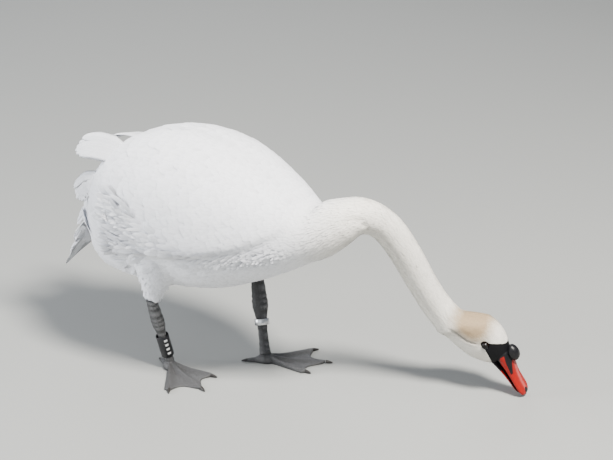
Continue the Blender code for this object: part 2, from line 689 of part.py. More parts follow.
def build_leg(letter, swan, cutters, paint, trunk, wing):
    leg = LEGS[letter]
    shank = add_node("shank_" + letter, loft("shank_" + letter, shank_rings(leg)), swan, paint["leg_skin"])
    thigh = add_node("thigh_" + letter,
                     loft("thigh_" + letter, tube_between(leg["hip"], thigh_end(leg), THIGH_RADII, 14)),
                     swan, paint["plumage"])
    carve(thigh, [trunk, wing, shank], cutters)
    foot = add_node("foot_" + letter, foot_mesh("foot_" + letter, leg), swan, paint["leg_skin"])
    heel = add_node("heel_" + letter, heel_mesh("heel_" + letter, leg), cutters, paint["leg_skin"])
    heel.hide_render = True
    heel.display_type = "WIRE"
    join = foot.modifiers.new("heel", "BOOLEAN")
    join.operation = "UNION"
    join.solver = "EXACT"
    join.object = heel
    apply_modifiers(foot)
    keep_largest_body(foot)
    carve(shank, [foot], cutters)
    joint = Vector((leg["foot"][0], leg["foot"][1], 0.0))
    tips = [(joint + toe_direction(leg, i) * TOE_LENGTHS[i], toe_direction(leg, i), 0.0040)
            for i in range(len(TOE_LENGTHS))]
    back = math.radians(leg["toes"] + 180.0)
    behind = Vector((math.cos(back), math.sin(back), 0.0))
    tips.append((joint + behind * 0.033, behind, 0.0040))
    for number, (start, direction, lift) in enumerate(tips, 1):
        name = "claw_" + letter + str(number)
        claw = add_node(name, claw_mesh(name, start - direction * 0.002, direction, lift), swan,
                        paint["claw"])
        carve(claw, [foot], cutters)


def centre_model(swan):
    """Moves every mesh so that the origin is under the middle of the whole box, on the ground."""
    low = Vector((1e9, 1e9, 1e9))
    high = -low
    for thing in swan.objects:
        for vert in thing.data.vertices:
            low = Vector([min(low[i], vert.co[i]) for i in range(3)])
            high = Vector([max(high[i], vert.co[i]) for i in range(3)])
    shift = Matrix.Translation(Vector((-(low.x + high.x) / 2.0, -(low.y + high.y) / 2.0, -low.z)))
    for thing in swan.objects:
        thing.data.transform(shift)


def main():
    clear_scene()
    swan = new_collection("mute_swan")
    cutters = new_collection("cutters", hidden=True)
    paint = {name: new_material(name) for name in COLOURS}
    trunk = build_body(swan, paint)
    build_head(swan, cutters, paint)
    tail = build_tail(swan, cutters, paint, trunk)
    wings = build_wings(swan, cutters, paint, trunk, tail)
    for letter in LEGS:
        build_leg(letter, swan, cutters, paint, trunk, wings[letter])
    add_node("ring_plastic", ring_mesh("ring_plastic", LEGS["R"], PLASTIC_RING), swan,
             paint["plastic_ring"])
    add_node("ring_metal", ring_mesh("ring_metal", LEGS["L"], METAL_RING), swan, paint["metal_ring"])
    centre_model(swan)


main()
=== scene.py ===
"""The looks of a life-size grazing mute swan: one skin, its feathers, the bill, the eyes, the bare
legs and the two leg rings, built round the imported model.

Metres, +Z up, the bird heading along +X with its left side towards +Y.
"""

import json
import math

import bmesh
import bpy
import numpy as np
from mathutils import Matrix, Vector
from mathutils.bvhtree import BVHTree
from mathutils.kdtree import KDTree

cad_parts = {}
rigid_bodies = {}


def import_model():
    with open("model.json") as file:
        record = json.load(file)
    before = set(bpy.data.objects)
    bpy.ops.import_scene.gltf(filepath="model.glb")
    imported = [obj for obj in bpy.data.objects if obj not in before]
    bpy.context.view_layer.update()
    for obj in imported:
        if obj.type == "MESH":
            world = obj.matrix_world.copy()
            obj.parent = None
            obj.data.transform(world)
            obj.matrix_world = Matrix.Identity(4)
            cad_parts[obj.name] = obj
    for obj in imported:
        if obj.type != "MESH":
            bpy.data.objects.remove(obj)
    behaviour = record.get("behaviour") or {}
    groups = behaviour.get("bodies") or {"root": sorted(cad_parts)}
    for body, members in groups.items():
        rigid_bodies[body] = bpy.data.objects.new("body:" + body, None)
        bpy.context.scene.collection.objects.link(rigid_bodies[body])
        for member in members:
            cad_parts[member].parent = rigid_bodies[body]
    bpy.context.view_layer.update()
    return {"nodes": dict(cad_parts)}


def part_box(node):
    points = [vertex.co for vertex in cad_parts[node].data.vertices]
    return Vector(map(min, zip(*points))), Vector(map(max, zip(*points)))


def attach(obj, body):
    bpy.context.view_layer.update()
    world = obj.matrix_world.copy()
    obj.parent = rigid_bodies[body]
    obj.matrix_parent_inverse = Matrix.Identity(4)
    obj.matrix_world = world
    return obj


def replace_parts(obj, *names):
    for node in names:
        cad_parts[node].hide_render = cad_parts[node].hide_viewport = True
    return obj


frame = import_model()
SCENE = bpy.context.scene

# ---- where the CAD pieces are

TRUNK_REAR = -0.280             # the trunk's rear end, from midway between the feet
TRUNK_LOW, TRUNK_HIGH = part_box("trunk")
SHIFT = Vector((TRUNK_LOW.x - TRUNK_REAR, (TRUNK_LOW.y + TRUNK_HIGH.y) / 2.0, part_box("foot_R")[0].z))

NECK_LINE = ((0.225, 0.000, 0.310), (0.257, 0.012, 0.333), (0.284, 0.036, 0.343),
             (0.3075, 0.071, 0.318), (0.3284, 0.099, 0.269), (0.3468, 0.1248, 0.2108),
             (0.3648, 0.1471, 0.1630), (0.3818, 0.1628, 0.1330))
BILL_TIP = Vector((0.5114, 0.2234, 0.0054))
BILL_REACH = 0.118              # from between the eyes to the tip of the bill
HEAD_YAW, HEAD_PITCH, HEAD_ROLL = math.radians(24.0), math.radians(-54.2), math.radians(14.0)
LEGS = {"R": {"hip": (-0.071, -0.076, 0.235), "hock": (-0.0753, -0.079, 0.1006),
              "foot": (-0.0685, -0.057, 0.016), "toes": -24.0},
        "L": {"hip": (0.027, 0.078, 0.245), "hock": (0.0279, 0.0857, 0.109),
              "foot": (0.0555, 0.065, 0.016), "toes": 36.0}}


def head_matrix():
    """Turns the head's own forward, left and up into the row's frame."""
    forward = Vector((math.cos(HEAD_PITCH) * math.cos(HEAD_YAW),
                      math.cos(HEAD_PITCH) * math.sin(HEAD_YAW), math.sin(HEAD_PITCH)))
    left = Vector((0, 0, 1)).cross(forward).normalized()
    up = forward.cross(left).normalized()
    roll = Matrix.Rotation(HEAD_ROLL, 3, forward)
    axes = Matrix((forward, roll @ left, roll @ up)).transposed()
    middle = BILL_TIP + SHIFT - axes @ Vector((BILL_REACH, 0, 0))
    return Matrix.Translation(middle) @ axes.to_4x4()


HEAD = head_matrix()
HEAD_BACK = HEAD.inverted()

# ---- small helpers


def smoothstep(value, low, high):
    """0 below low, 1 above high and smooth between them, for numbers or arrays."""
    share = np.clip((value - low) / (high - low), 0.0, 1.0)
    return share * share * (3.0 - 2.0 * share)


def unit(vectors):
    return vectors / np.maximum(np.linalg.norm(vectors, axis=-1, keepdims=True), 1e-12)


def turned(matrix, points):
    """Points, as rows, through a 4 by 4 matrix."""
    table = np.array(matrix)
    return points @ table[:3, :3].T + table[:3, 3]


def nearest_on(line, points, step=1):
    """For each point, the index of the nearest one among every step-th point of a line."""
    return np.argmin(((points[:, None, :] - line[None, ::step, :]) ** 2).sum(-1), axis=1) * step


def lengths_along(points):
    """How far along a polyline each of its points lies."""
    return np.concatenate(([0.0], np.cumsum(np.linalg.norm(np.diff(points, axis=0), axis=1))))


def points_at(places, lengths, points):
    """The points of a polyline at places along it."""
    return np.stack([np.interp(places, lengths, points[:, axis]) for axis in range(3)], axis=1)


def laid_flat(ways, normals, nudge=0.0):
    """The ways turned into the planes that the normals stand on, as unit vectors."""
    return unit(ways - normals * (ways * normals).sum(1, keepdims=True) + nudge)


def opaque(colours):
    """Rows of red, green and blue with a full alpha behind them."""
    return np.concatenate((colours, np.ones((len(colours), 1))), axis=1)


def gathered(items, field, width, kind=float):
    """One field of every item of a collection, as the rows of an array."""
    found = np.empty(len(items) * width, kind)
    items.foreach_get(field, found)
    return found.reshape(-1, width)


def places_of(mesh):
    return gathered(mesh.vertices, "co", 3)


def normals_of(mesh):
    return gathered(mesh.vertex_normals, "vector", 3)


def put_places(mesh, places):
    mesh.vertices.foreach_set("co", np.asarray(places, np.float32).ravel())
    mesh.update()


LAYER_KINDS = {"f1": ("FLOAT", "value", np.float32), "f3": ("FLOAT_VECTOR", "vector", np.float32),
               "f4": ("FLOAT_COLOR", "color", np.float32), "i1": ("INT", "value", np.int32),
               "b1": ("BOOLEAN", "value", bool)}


def note(mesh, domain="POINT", **layers):
    """Writes arrays as named attributes of a mesh, each of the kind that suits its numbers."""
    for name, values in layers.items():
        values = np.asarray(values)
        width = 1 if values.ndim == 1 else values.shape[1]
        kind, field, dtype = LAYER_KINDS[values.dtype.kind + str(width)]
        layer = mesh.attributes.get(name) or mesh.attributes.new(name, kind, domain)
        layer.data.foreach_set(field, np.ascontiguousarray(values, dtype).ravel())


def new_object(name, data):
    """An object in the scene, from a mesh, a camera or a light."""
    thing = bpy.data.objects.new(name, data)
    SCENE.collection.objects.link(thing)
    return thing


def mesh_from(name, points, faces):
    mesh = bpy.data.meshes.new(name)
    mesh.from_pydata([tuple(point) for point in points], [], [tuple(face) for face in faces])
    mesh.update()
    return mesh


def map_points(mesh, name, pairs):
    """A UV map that gives each vertex its pair."""
    layer = mesh.uv_layers.new(name=name)
    for loop in mesh.loops:
        layer.data[loop.index].uv = pairs[loop.vertex_index]


def shape_of(mesh):
    """A mesh as a bmesh."""
    shape = bmesh.new()
    shape.from_mesh(mesh)
    return shape


def written(shape, mesh):
    """The mesh, once a bmesh is written to it and freed."""
    shape.to_mesh(mesh)
    shape.free()
    return mesh


def joined(name, parts):
    """One mesh made of several, which are removed."""
    whole = bmesh.new()
    for part in parts:
        whole.from_mesh(part)
        bpy.data.meshes.remove(part)
    return written(whole, bpy.data.meshes.new(name))


def welded(node, swell):
    """A CAD node's mesh as a bmesh without doubles, moved out along its normals by swell."""
    shape = shape_of(frame["nodes"][node].data)
    bmesh.ops.remove_doubles(shape, verts=shape.verts, dist=1e-5)
    shape.normal_update()
    for vert in shape.verts:
        vert.co += vert.normal * swell
    return shape


def band_faces(rows, count, start=0, wraps=False):
    """Quads between rows of count points; where it wraps, the last row joins the first."""
    faces = []
    for row in range(rows if wraps else rows - 1):
        first, second = start + row * count, start + (row + 1) % rows * count
        for i in range(count):
            j = (i + 1) % count
            faces.append((first + i, first + j, second + j, second + i))
    return faces


def evaluated_mesh(thing):
    """The mesh that an object's modifiers make, as a mesh of its own."""
    graph = bpy.context.evaluated_depsgraph_get()
    graph.update()
    return bpy.data.meshes.new_from_object(thing.evaluated_get(graph), depsgraph=graph)


def settle(thing):
    """Replaces an object's mesh by what its modifiers make, and removes the modifiers."""
    made = evaluated_mesh(thing)
    thing.modifiers.clear()
    before = thing.data
    thing.data = made
    bpy.data.meshes.remove(before)
    return thing


def remeshed(name, mesh, voxel_size):
    """An object whose mesh is the given one, made into one closed skin of even faces."""
    thing = new_object(name, mesh)
    remesh = thing.modifiers.new("voxels", "REMESH")
    remesh.mode = "VOXEL"
    remesh.voxel_size = voxel_size
    return settle(thing)


def facing_out(mesh):
    """Points every closed shell's faces outwards."""
    shape = shape_of(mesh)
    bmesh.ops.recalc_face_normals(shape, faces=shape.faces)
    written(shape, mesh).shade_smooth()
    return mesh


def spread(mesh, values, rounds):
    """Values at the vertices, averaged with their neighbours' a number of times."""
    pairs = gathered(mesh.edges, "vertices", 2, np.int32)
    count = np.bincount(pairs.ravel(), minlength=len(mesh.vertices)).astype(float)
    values = np.array(values, float)
    for _ in range(rounds):
        total = np.zeros_like(values)
        np.add.at(total, pairs[:, 0], values[pairs[:, 1]])
        np.add.at(total, pairs[:, 1], values[pairs[:, 0]])
        mean = total / np.maximum(count, 1.0).reshape((-1,) + (1,) * (values.ndim - 1))
        values = 0.5 * values + 0.5 * mean
    return values


# ---- the skin

FLESH = ("trunk", "neck_root", "neck_base", "neck_arch", "neck_middle", "neck_upper", "head",
         "thigh_L", "thigh_R", "wing_L", "wing_R")
REGION_OF = {"trunk": "body", "head": "head", "thigh_L": "thigh", "thigh_R": "thigh",
             "wing_L": "wing", "wing_R": "wing"}
REGIONS = ("body", "wing", "neck", "head", "thigh")
REGION = {name: column for column, name in enumerate(REGIONS)}
COAT_DEPTH = {"body": 0.0046, "wing": 0.0036, "neck": 0.0024, "head": 0.0009, "thigh": 0.0042}
SWELL = 0.0013                  # closes the parting gaps before the voxels, and is taken off after
VOXEL = 0.0038
SKIN_SMOOTHING = 12
HEAD_FINE_FROM = -0.050         # the head's skin is finer ahead of here, in the head's own place
HEAD_FINE_REACH = 0.075         # and no further than this from its middle
NECK_POINTS, NECK_BLUR = 120, 9     # points along the neck's middle line, and how many are averaged
NECK_STEP = 3                   # every third of them is looked at for the nearest one


def nearest_region(points):
    """For each point, a row of shares over REGIONS: all of it on the nearest CAD node's region."""
    corners, faces, owner = [], [], []
    for node in FLESH:
        mesh = frame["nodes"][node].data
        mesh.calc_loop_triangles()
        start = len(corners)
        corners += [vert.co.copy() for vert in mesh.vertices]
        for triangle in mesh.loop_triangles:
            faces.append([start + index for index in triangle.vertices])
            owner.append(REGION[REGION_OF.get(node, "neck")])
    tree = BVHTree.FromPolygons(corners, faces)
    shares = np.zeros((len(points), len(REGIONS)))
    for row, point in enumerate(points):
        shares[row, owner[tree.find_nearest(Vector(point))[2]]] = 1.0
    return shares


def neck_samples():
    """Points along the neck's middle line, the way it runs there, and their shares of its length."""
    knots = np.array(NECK_LINE) + np.array(SHIFT)
    lengths = lengths_along(knots)
    places = np.linspace(0.0, lengths[-1], NECK_POINTS)
    line = points_at(places, lengths, knots)
    kernel, ends = np.ones(NECK_BLUR) / NECK_BLUR, NECK_BLUR // 2
    padded = np.concatenate((np.repeat(line[:1], ends, 0), line, np.repeat(line[-1:], ends, 0)))
    line = np.stack([np.convolve(padded[:, axis], kernel, "valid") for axis in range(3)], axis=1)
    return line, unit(np.gradient(line, axis=0)), places / lengths[-1]


FLANK_DROOP = 0.38              # how far feathers slope down for each unit that they run back
WING_RISE, SHOULDER_DROOP = 0.10, 0.35
CROWN_SPLAY, CROWN_DROOP = 0.18, 0.22
THIGH_SWEEP = 0.35


def lie_of_coat(points, normals, shares):
    """The way that the feathers point, at each point of the skin."""
    bird = points - np.array(SHIFT)
    side_low = smoothstep(0.32 - bird[:, 2], 0.0, 0.12) * smoothstep(np.abs(bird[:, 1]), 0.02, 0.10)
    body, wing = np.zeros_like(points), np.zeros_like(points)
    body[:, 0] = wing[:, 0] = -1.0
    body[:, 2] = -FLANK_DROOP * side_low
    wing[:, 2] = WING_RISE - SHOULDER_DROOP * smoothstep(bird[:, 0], -0.02, 0.16)
    line, ways, _ = neck_samples()
    neck = -ways[nearest_on(line, points, NECK_STEP)]
    own = turned(HEAD_BACK, points)
    head_way = np.stack((np.full(len(points), -1.0), np.sign(own[:, 1]) * CROWN_SPLAY,
                         -CROWN_DROOP * smoothstep(-own[:, 2], -0.02, 0.03)), axis=1)
    head = head_way @ np.array(HEAD.to_3x3()).T
    thigh = np.zeros_like(points)
    for letter, leg in LEGS.items():
        way = (Vector(leg["hock"]) - Vector(leg["hip"])).normalized() + Vector((-THIGH_SWEEP, 0, 0))
        own_side = (bird[:, 1] > 0) == (letter == "L")
        thigh[own_side] = np.array(way)
    ways = sum(shares[:, [index]] * way
               for index, way in enumerate((body, wing, neck, head, thigh)))
    return laid_flat(ways, normals)


def unwrap(thing):
    """An unwrap of the object's own shape, as the only UV map, for the bake."""
    while thing.data.uv_layers:
        thing.data.uv_layers.remove(thing.data.uv_layers[0])
    thing.data.uv_layers.new(name="OFBake")
    bpy.context.view_layer.objects.active = thing
    thing.select_set(True)
    bpy.ops.object.mode_set(mode="EDIT")
    bpy.ops.mesh.select_all(action="SELECT")
    bpy.ops.uv.smart_project(angle_limit=math.radians(66.0), island_margin=0.002)
    bpy.ops.object.mode_set(mode="OBJECT")
    thing.select_set(False)


def refine_head(mesh):
    """Cuts the head's faces finer, so that lids and lores can be shaped."""
    for _ in range(2):
        own = turned(HEAD_BACK, places_of(mesh))
        near = np.linalg.norm(own - np.array((0.0, 0.0, -0.01)), axis=1) < HEAD_FINE_REACH
        near &= own[:, 0] > HEAD_FINE_FROM
        shape = shape_of(mesh)
        edges = [edge for edge in shape.edges if all(near[vert.index] for vert in edge.verts)]
        bmesh.ops.subdivide_edges(shape, edges=edges, cuts=1, use_grid_fill=True, smooth=0.0)
        written(shape, mesh)
    places = places_of(mesh)
    ahead = turned(HEAD_BACK, places)[:, 0]
    weight = smoothstep(ahead, HEAD_FINE_FROM, HEAD_FINE_FROM + 0.02)[:, None]
    put_places(mesh, places + (spread(mesh, places, 6) - places) * weight)


# The fold under the cheek runs through these places, along and up, in the head's own place.
CHEEK_FOLD = ((-0.060, -0.0330), (-0.037, -0.0275), (-0.024, -0.0215), (-0.013, -0.0110))
CHEEK_DEPTH, CHEEK_WIDTH = 0.0028, 0.0026
CHEEK_PAINTED_SHADE, PAINTED_SHADE_WIDTH = 0.45, 0.0020     # painted shade along the fold under the cheek: how much darker it is painted, and how wide
GROOVE_DEPTH, GROOVE_WIDTH = 0.0022, 0.17   # metres, and radians round the neck
WING_EDGE = ((0.195, -0.142), (0.245, -0.145), (0.270, -0.149), (0.320, -0.147))    # up and along
WING_FOLD_DEPTH, WING_FOLD_WIDTH = 0.0065, 0.0065


def wing_fold(places):
    """1 along the rear edge of the fluffed flank, where it parts from the wing, and 0 away from it."""
    high = places[:, 2]
    off = places[:, 0] - SHIFT.x - np.interp(high, *zip(*WING_EDGE))
    fold = np.exp(-(off / WING_FOLD_WIDTH) ** 2) * (np.abs(places[:, 1] - SHIFT.y) > 0.05)
    return fold * smoothstep(high, 0.180, 0.205) * (1.0 - smoothstep(high, 0.295, 0.325))


def cheek_fold(own, width):
    """1 along the fold under the cheek and 0 away from it, for points in the head's own place."""
    off = own[:, 2] - np.interp(own[:, 0], *zip(*CHEEK_FOLD))
    fold = np.exp(-(off / width) ** 2) * (np.abs(own[:, 1]) > 0.010)
    return fold * smoothstep(own[:, 0], -0.066, -0.050) * (1.0 - smoothstep(own[:, 0], -0.016, -0.010))


def folds(places, shares):
    """How far in the skin lies, in metres: along the neck, under the cheeks and behind the flanks."""
    line, ways, along = neck_samples()
    nearest = nearest_on(line, places, NECK_STEP)
    out = places - line[nearest]
    way = ways[nearest]
    out -= way * (out * way).sum(1, keepdims=True)
    side = np.array((0.0, 1.0, 0.0)) - way * way[:, [1]]
    angle = np.arccos(np.clip(np.abs((unit(out) * unit(side)).sum(1)), 0.0, 1.0))
    share = along[nearest]
    neck = np.exp(-(angle / GROOVE_WIDTH) ** 2) * GROOVE_DEPTH
    middle = shares[:, REGION["neck"]] * smoothstep(share, 0.08, 0.22)
    neck *= middle * (1.0 - smoothstep(share, 0.85, 1.0))
    cheek = cheek_fold(turned(HEAD_BACK, places), CHEEK_WIDTH) * CHEEK_DEPTH
    return neck + cheek * shares[:, REGION["head"]] + WING_FOLD_DEPTH * wing_fold(places)


def make_skin():
    """One skin in place of all the flesh nodes, inside them by the depth of the coat."""
    parts = (written(welded(node, SWELL), bpy.data.meshes.new("part")) for node in FLESH)
    flesh = joined("flesh", parts)
    skin = remeshed("swan_skin", flesh, VOXEL)
    mesh = skin.data
    places = places_of(mesh)
    shares = spread(mesh, nearest_region(places), 10)
    firm = shares[:, [REGION["head"]]] * 0.75
    put_places(mesh, places + (spread(mesh, places, SKIN_SMOOTHING) - places) * (1.0 - firm))
    refine_head(mesh)
    places, normals = places_of(mesh), normals_of(mesh)
    shares = spread(mesh, nearest_region(places), 6)
    depth = shares @ np.array([COAT_DEPTH[region] for region in REGIONS])
    depth = depth + SWELL + folds(places, shares)
    put_places(mesh, places - normals * depth[:, None])
    places, normals = places_of(mesh), normals_of(mesh)
    note(mesh, lie=lie_of_coat(places, normals, shares), outward=normals, tint=plumage(places),
         lores=lores(turned(HEAD_BACK, places)))
    mesh.shade_smooth()
    unwrap(skin)
    mesh.materials.append(DOWN)
    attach(skin, "root")
    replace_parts(skin, *FLESH)
    return skin, shares


# ---- colours of the plumage

WHITE = np.array((0.855, 0.865, 0.905))
NECK_WHITE = np.array((0.88, 0.845, 0.77))
BUFF = np.array((0.35, 0.238, 0.118))
BUFF_MIDDLE, BUFF_HALF = (-0.044, 0.004), (0.038, 0.034)    # along and up, in the head's own place
BUFF_STRENGTH = 0.92
BARE_BLACK = (0.003, 0.003, 0.004, 1.0)
MOTTLING = 0.12                 # how far a worn finish strays from its colour, as a share
PUPIL_MIDDLE = (-2.6, 1.2)      # along and up, in millimetres, in the head's own place
BILL_REDS = (0.225, 0.0016, 0.0004, 1.0), (0.275, 0.0040, 0.0008, 1.0)
# Pale pink painted highlight along the top of the bill.
RIDGE_PAINTED_HIGHLIGHT = (0.60, 0.14, 0.13, 1.0)
SLIT_BLACK = (0.003, 0.003, 0.003, 1.0)


def plumage(points):
    """The colour of skin and coat at each point: white body, creamier neck, a buff crown, and painted
    shade along the fold under the cheek.
    """
    own = turned(HEAD_BACK, points)
    neckish = smoothstep(points[:, [0]] - SHIFT.x, 0.17, 0.31)
    colour = WHITE + (NECK_WHITE - WHITE) * neckish
    along = (own[:, 0] - BUFF_MIDDLE[0]) / BUFF_HALF[0]
    up = (own[:, 2] - BUFF_MIDDLE[1]) / BUFF_HALF[1]
    patch = 1.0 - smoothstep(np.hypot(along, up), 0.50, 1.28)
    patch *= smoothstep(0.05 - np.abs(own[:, 1]), 0.0, 0.01)
    colour = colour + (BUFF - colour) * BUFF_STRENGTH * patch[:, None]
    # The fold under the cheek is darkened in the colour: painted shade.
    return opaque(colour * (1.0 - CHEEK_PAINTED_SHADE * cheek_fold(own, PAINTED_SHADE_WIDTH))[:, None])


# ---- materials


def node_material(name):
    material = bpy.data.materials.new(name)
    material.use_nodes = True
    tree = material.node_tree
    return material, tree, tree.nodes["Principled BSDF"]


def add(tree, kind, **settings):
    """A node with its properties set and its inputs filled in or linked, by name."""
    node = tree.nodes.new(kind)
    links = settings.pop("inputs", {})
    for key, value in settings.items():
        setattr(node, key, value)
    for key, value in links.items():
        socket = node.inputs[key]
        if isinstance(value, bpy.types.NodeSocket):
            tree.links.new(value, socket)
        else:
            socket.default_value = value
    return node


def maths(tree, operation, *inputs):
    """What a Math node makes of its inputs."""
    return add(tree, "ShaderNodeMath", operation=operation, inputs=dict(enumerate(inputs))).outputs[0]


def remapped(tree, value, low, high, to_low, to_high):
    """A value that runs from low to high, made to run from to_low to to_high."""
    names = ("Value", "From Min", "From Max", "To Min", "To Max")
    numbers = (value, low, high, to_low, to_high)
    return add(tree, "ShaderNodeMapRange", inputs=dict(zip(names, numbers))).outputs[0]


def noted(tree, name, output="Fac"):
    """A value that the mesh carries as an attribute."""
    return add(tree, "ShaderNodeAttribute", attribute_name=name).outputs[output]


def clouds(tree, scale, detail=5.0, place=None):
    """Noise from 0 to 1, on the piece's own coordinates unless a place is given."""
    place = place or add(tree, "ShaderNodeTexCoord").outputs["Object"]
    return add(tree, "ShaderNodeTexNoise",
               inputs={"Vector": place, "Scale": scale, "Detail": detail}).outputs["Fac"]


def mixed(tree, share, first, second):
    """The first colour at a share of 0, the second at 1."""
    return add(tree, "ShaderNodeMix", data_type="RGBA",
               inputs={0: share, 6: first, 7: second}).outputs[2]


def tinted(tree, light):
    """The colour that the mesh carries, times a light."""
    return add(tree, "ShaderNodeVectorMath", operation="SCALE",
               inputs={0: noted(tree, "tint", "Color"), "Scale": light}).outputs[0]


def two_stops(tree, share, *stops):
    """A colour that runs between two stops, each a place and a colour."""
    ramp = add(tree, "ShaderNodeValToRGB", inputs={"Fac": share})
    for element, (place, colour) in zip(ramp.color_ramp.elements, stops):
        element.position = place
        element.color = tuple(colour) + (1.0,)
    return ramp.outputs[0]


def dress(tree, shader, colour, relief=None, **sockets):
    """Gives the shader its colour, a relief of (height, strength, distance) and its plain sockets."""
    tree.links.new(colour, shader.inputs["Base Color"])
    if relief:
        bump = add(tree, "ShaderNodeBump", inputs=dict(zip(("Height", "Strength", "Distance"), relief)))
        tree.links.new(bump.outputs[0], shader.inputs["Normal"])
    for name, value in sockets.items():
        shader.inputs[name.replace("_", " ")].default_value = value


def feather_material(name, barb_scale, barb_depth):
    """White feather: barbs slant out from the shaft and the root is a little darker than the tip,
    partly the greyer base of a real feather and partly painted shade under the overlapping feathers.
    """
    material, tree, shader = node_material(name)
    vane = add(tree, "ShaderNodeUVMap", uv_map="vane").outputs["UV"]
    parts = add(tree, "ShaderNodeSeparateXYZ", inputs={"Vector": vane}).outputs
    away = maths(tree, "ABSOLUTE", maths(tree, "SUBTRACT", parts["X"], 0.5))
    slant = maths(tree, "MULTIPLY_ADD", away, -1.1, parts["Y"])
    barbs = maths(tree, "SINE", maths(tree, "MULTIPLY", slant, barb_scale))
    shaft = remapped(tree, away, 0.0, 0.06, 0.90, 1.0)
    # Darker towards the root: partly a real feather's greyer base, partly painted shade where the next
    # feathers overlap it.
    root = remapped(tree, parts["Y"], 0.45, 0.97, 0.84, 1.0)
    streak = remapped(tree, barbs, -1.0, 1.0, 0.965, 1.0)
    light = maths(tree, "MULTIPLY", maths(tree, "MULTIPLY", shaft, root), streak)
    dress(tree, shader, tinted(tree, light), (barbs, barb_depth, 0.0004),
          Roughness=0.62, Specular_IOR_Level=0.25, Sheen_Weight=0.25, Sheen_Roughness=0.4)
    return material


def skin_material():
    """Under the coat: soft down in the plumage's own colour, and the bare black lores."""
    material, tree, shader = node_material("down_and_skin")
    cloud = clouds(tree, 420.0, 4.0)
    down = tinted(tree, remapped(tree, cloud, 0.3, 0.7, 0.84, 0.98))
    bare = maths(tree, "MULTIPLY_ADD", cloud, 0.0012, noted(tree, "lores"))
    black = remapped(tree, bare, -0.0002, 0.0008, 0.0, 1.0)
    dress(tree, shader, mixed(tree, black, down, BARE_BLACK), (cloud, 0.6, 0.0006),
          Roughness=0.62, Specular_IOR_Level=0.15)
    return material


def leg_material():
    """Grey leg skin: the bands come from the tint, mottled and slightly rough."""
    material, tree, shader = node_material("grey_leg_skin")
    cloud = clouds(tree, 700.0)
    colour = tinted(tree, remapped(tree, cloud, 0.3, 0.7, 0.70, 1.15))
    dress(tree, shader, colour, (cloud, 0.5, 0.0003), Roughness=0.55)
    return material


def worn_material(name, colour, roughness, noise_scale, bump_depth=0.2, metallic=0.0):
    """One colour with fine wear: mottling in colour, roughness and relief."""
    material, tree, shader = node_material(name)
    cloud = clouds(tree, noise_scale)
    darker = [part * (1.0 - MOTTLING) for part in colour]
    lighter = [min(1.0, part * (1.0 + MOTTLING)) for part in colour]
    rough = remapped(tree, cloud, 0.3, 0.7, roughness * 0.85, min(1.0, roughness * 1.2))
    tree.links.new(rough, shader.inputs["Roughness"])
    dress(tree, shader, two_stops(tree, cloud, (0.3, darker), (0.7, lighter)),
          (cloud, bump_depth, 0.0002), Metallic=metallic, Specular_IOR_Level=0.35)
    return material


def bill_material():
    """Orange-red horn with a pale pink painted highlight along its top, and black where the black field
    is above 0.
    """
    material, tree, shader = node_material("orange_bill_horn")
    own = noted(tree, "own", "Vector")
    grain = clouds(tree, 0.55, 6.0, own)
    edge = maths(tree, "ADD", noted(tree, "black"), maths(tree, "MULTIPLY_ADD", grain, 0.7, -0.35))
    mask = remapped(tree, edge, -0.18, 0.18, 0.0, 1.0)
    sideways = add(tree, "ShaderNodeSeparateXYZ", inputs={"Vector": own}).outputs["Y"]
    # A painted highlight along the top of the bill, strongest on its middle line.
    ridge = remapped(tree, maths(tree, "ABSOLUTE", sideways), 1.5, 6.0, 0.38, 0.0)
    red = mixed(tree, remapped(tree, grain, 0.3, 0.7, 0.0, 1.0), *BILL_REDS)
    horn = mixed(tree, ridge, red, RIDGE_PAINTED_HIGHLIGHT)
    whole = mixed(tree, noted(tree, "slit"), mixed(tree, mask, horn, BARE_BLACK), SLIT_BLACK)
    dress(tree, shader, whole, (clouds(tree, 2.2, 4.0, own), 0.25, 0.0003),
          Roughness=0.42, Specular_IOR_Level=0.30)
    return material


def eye_material():
    """A dark brown iris round a black pupil under a wet surface."""
    material, tree, shader = node_material("wet_dark_eye")
    parts = add(tree, "ShaderNodeSeparateXYZ", inputs={"Vector": noted(tree, "own", "Vector")}).outputs
    flat = add(tree, "ShaderNodeCombineXYZ", inputs={
        "X": maths(tree, "ADD", parts["X"], -PUPIL_MIDDLE[0]),
        "Z": maths(tree, "ADD", parts["Z"], -PUPIL_MIDDLE[1])}).outputs[0]
    away = add(tree, "ShaderNodeVectorMath", operation="LENGTH", inputs={0: flat}).outputs["Value"]
    colour = two_stops(tree, maths(tree, "DIVIDE", away, 6.0), (0.30, (0.002, 0.002, 0.002)),
                       (0.38, (0.0055, 0.0030, 0.0020)))
    dress(tree, shader, colour, Roughness=0.08, Specular_IOR_Level=0.22)
    return material


# ---- feathers

TUFT_PATCH = 0.003              # how much of the bake's map one tuft takes
STATIONS = {"plume": (0.0, 0.35, 0.72), "feather": (0.0, 0.18, 0.42, 0.66, 0.85, 0.95),
            "loose": (0.0, 0.22, 0.48, 0.72, 0.90), "scute": (0.0, 0.50, 0.86)}     # along a vane


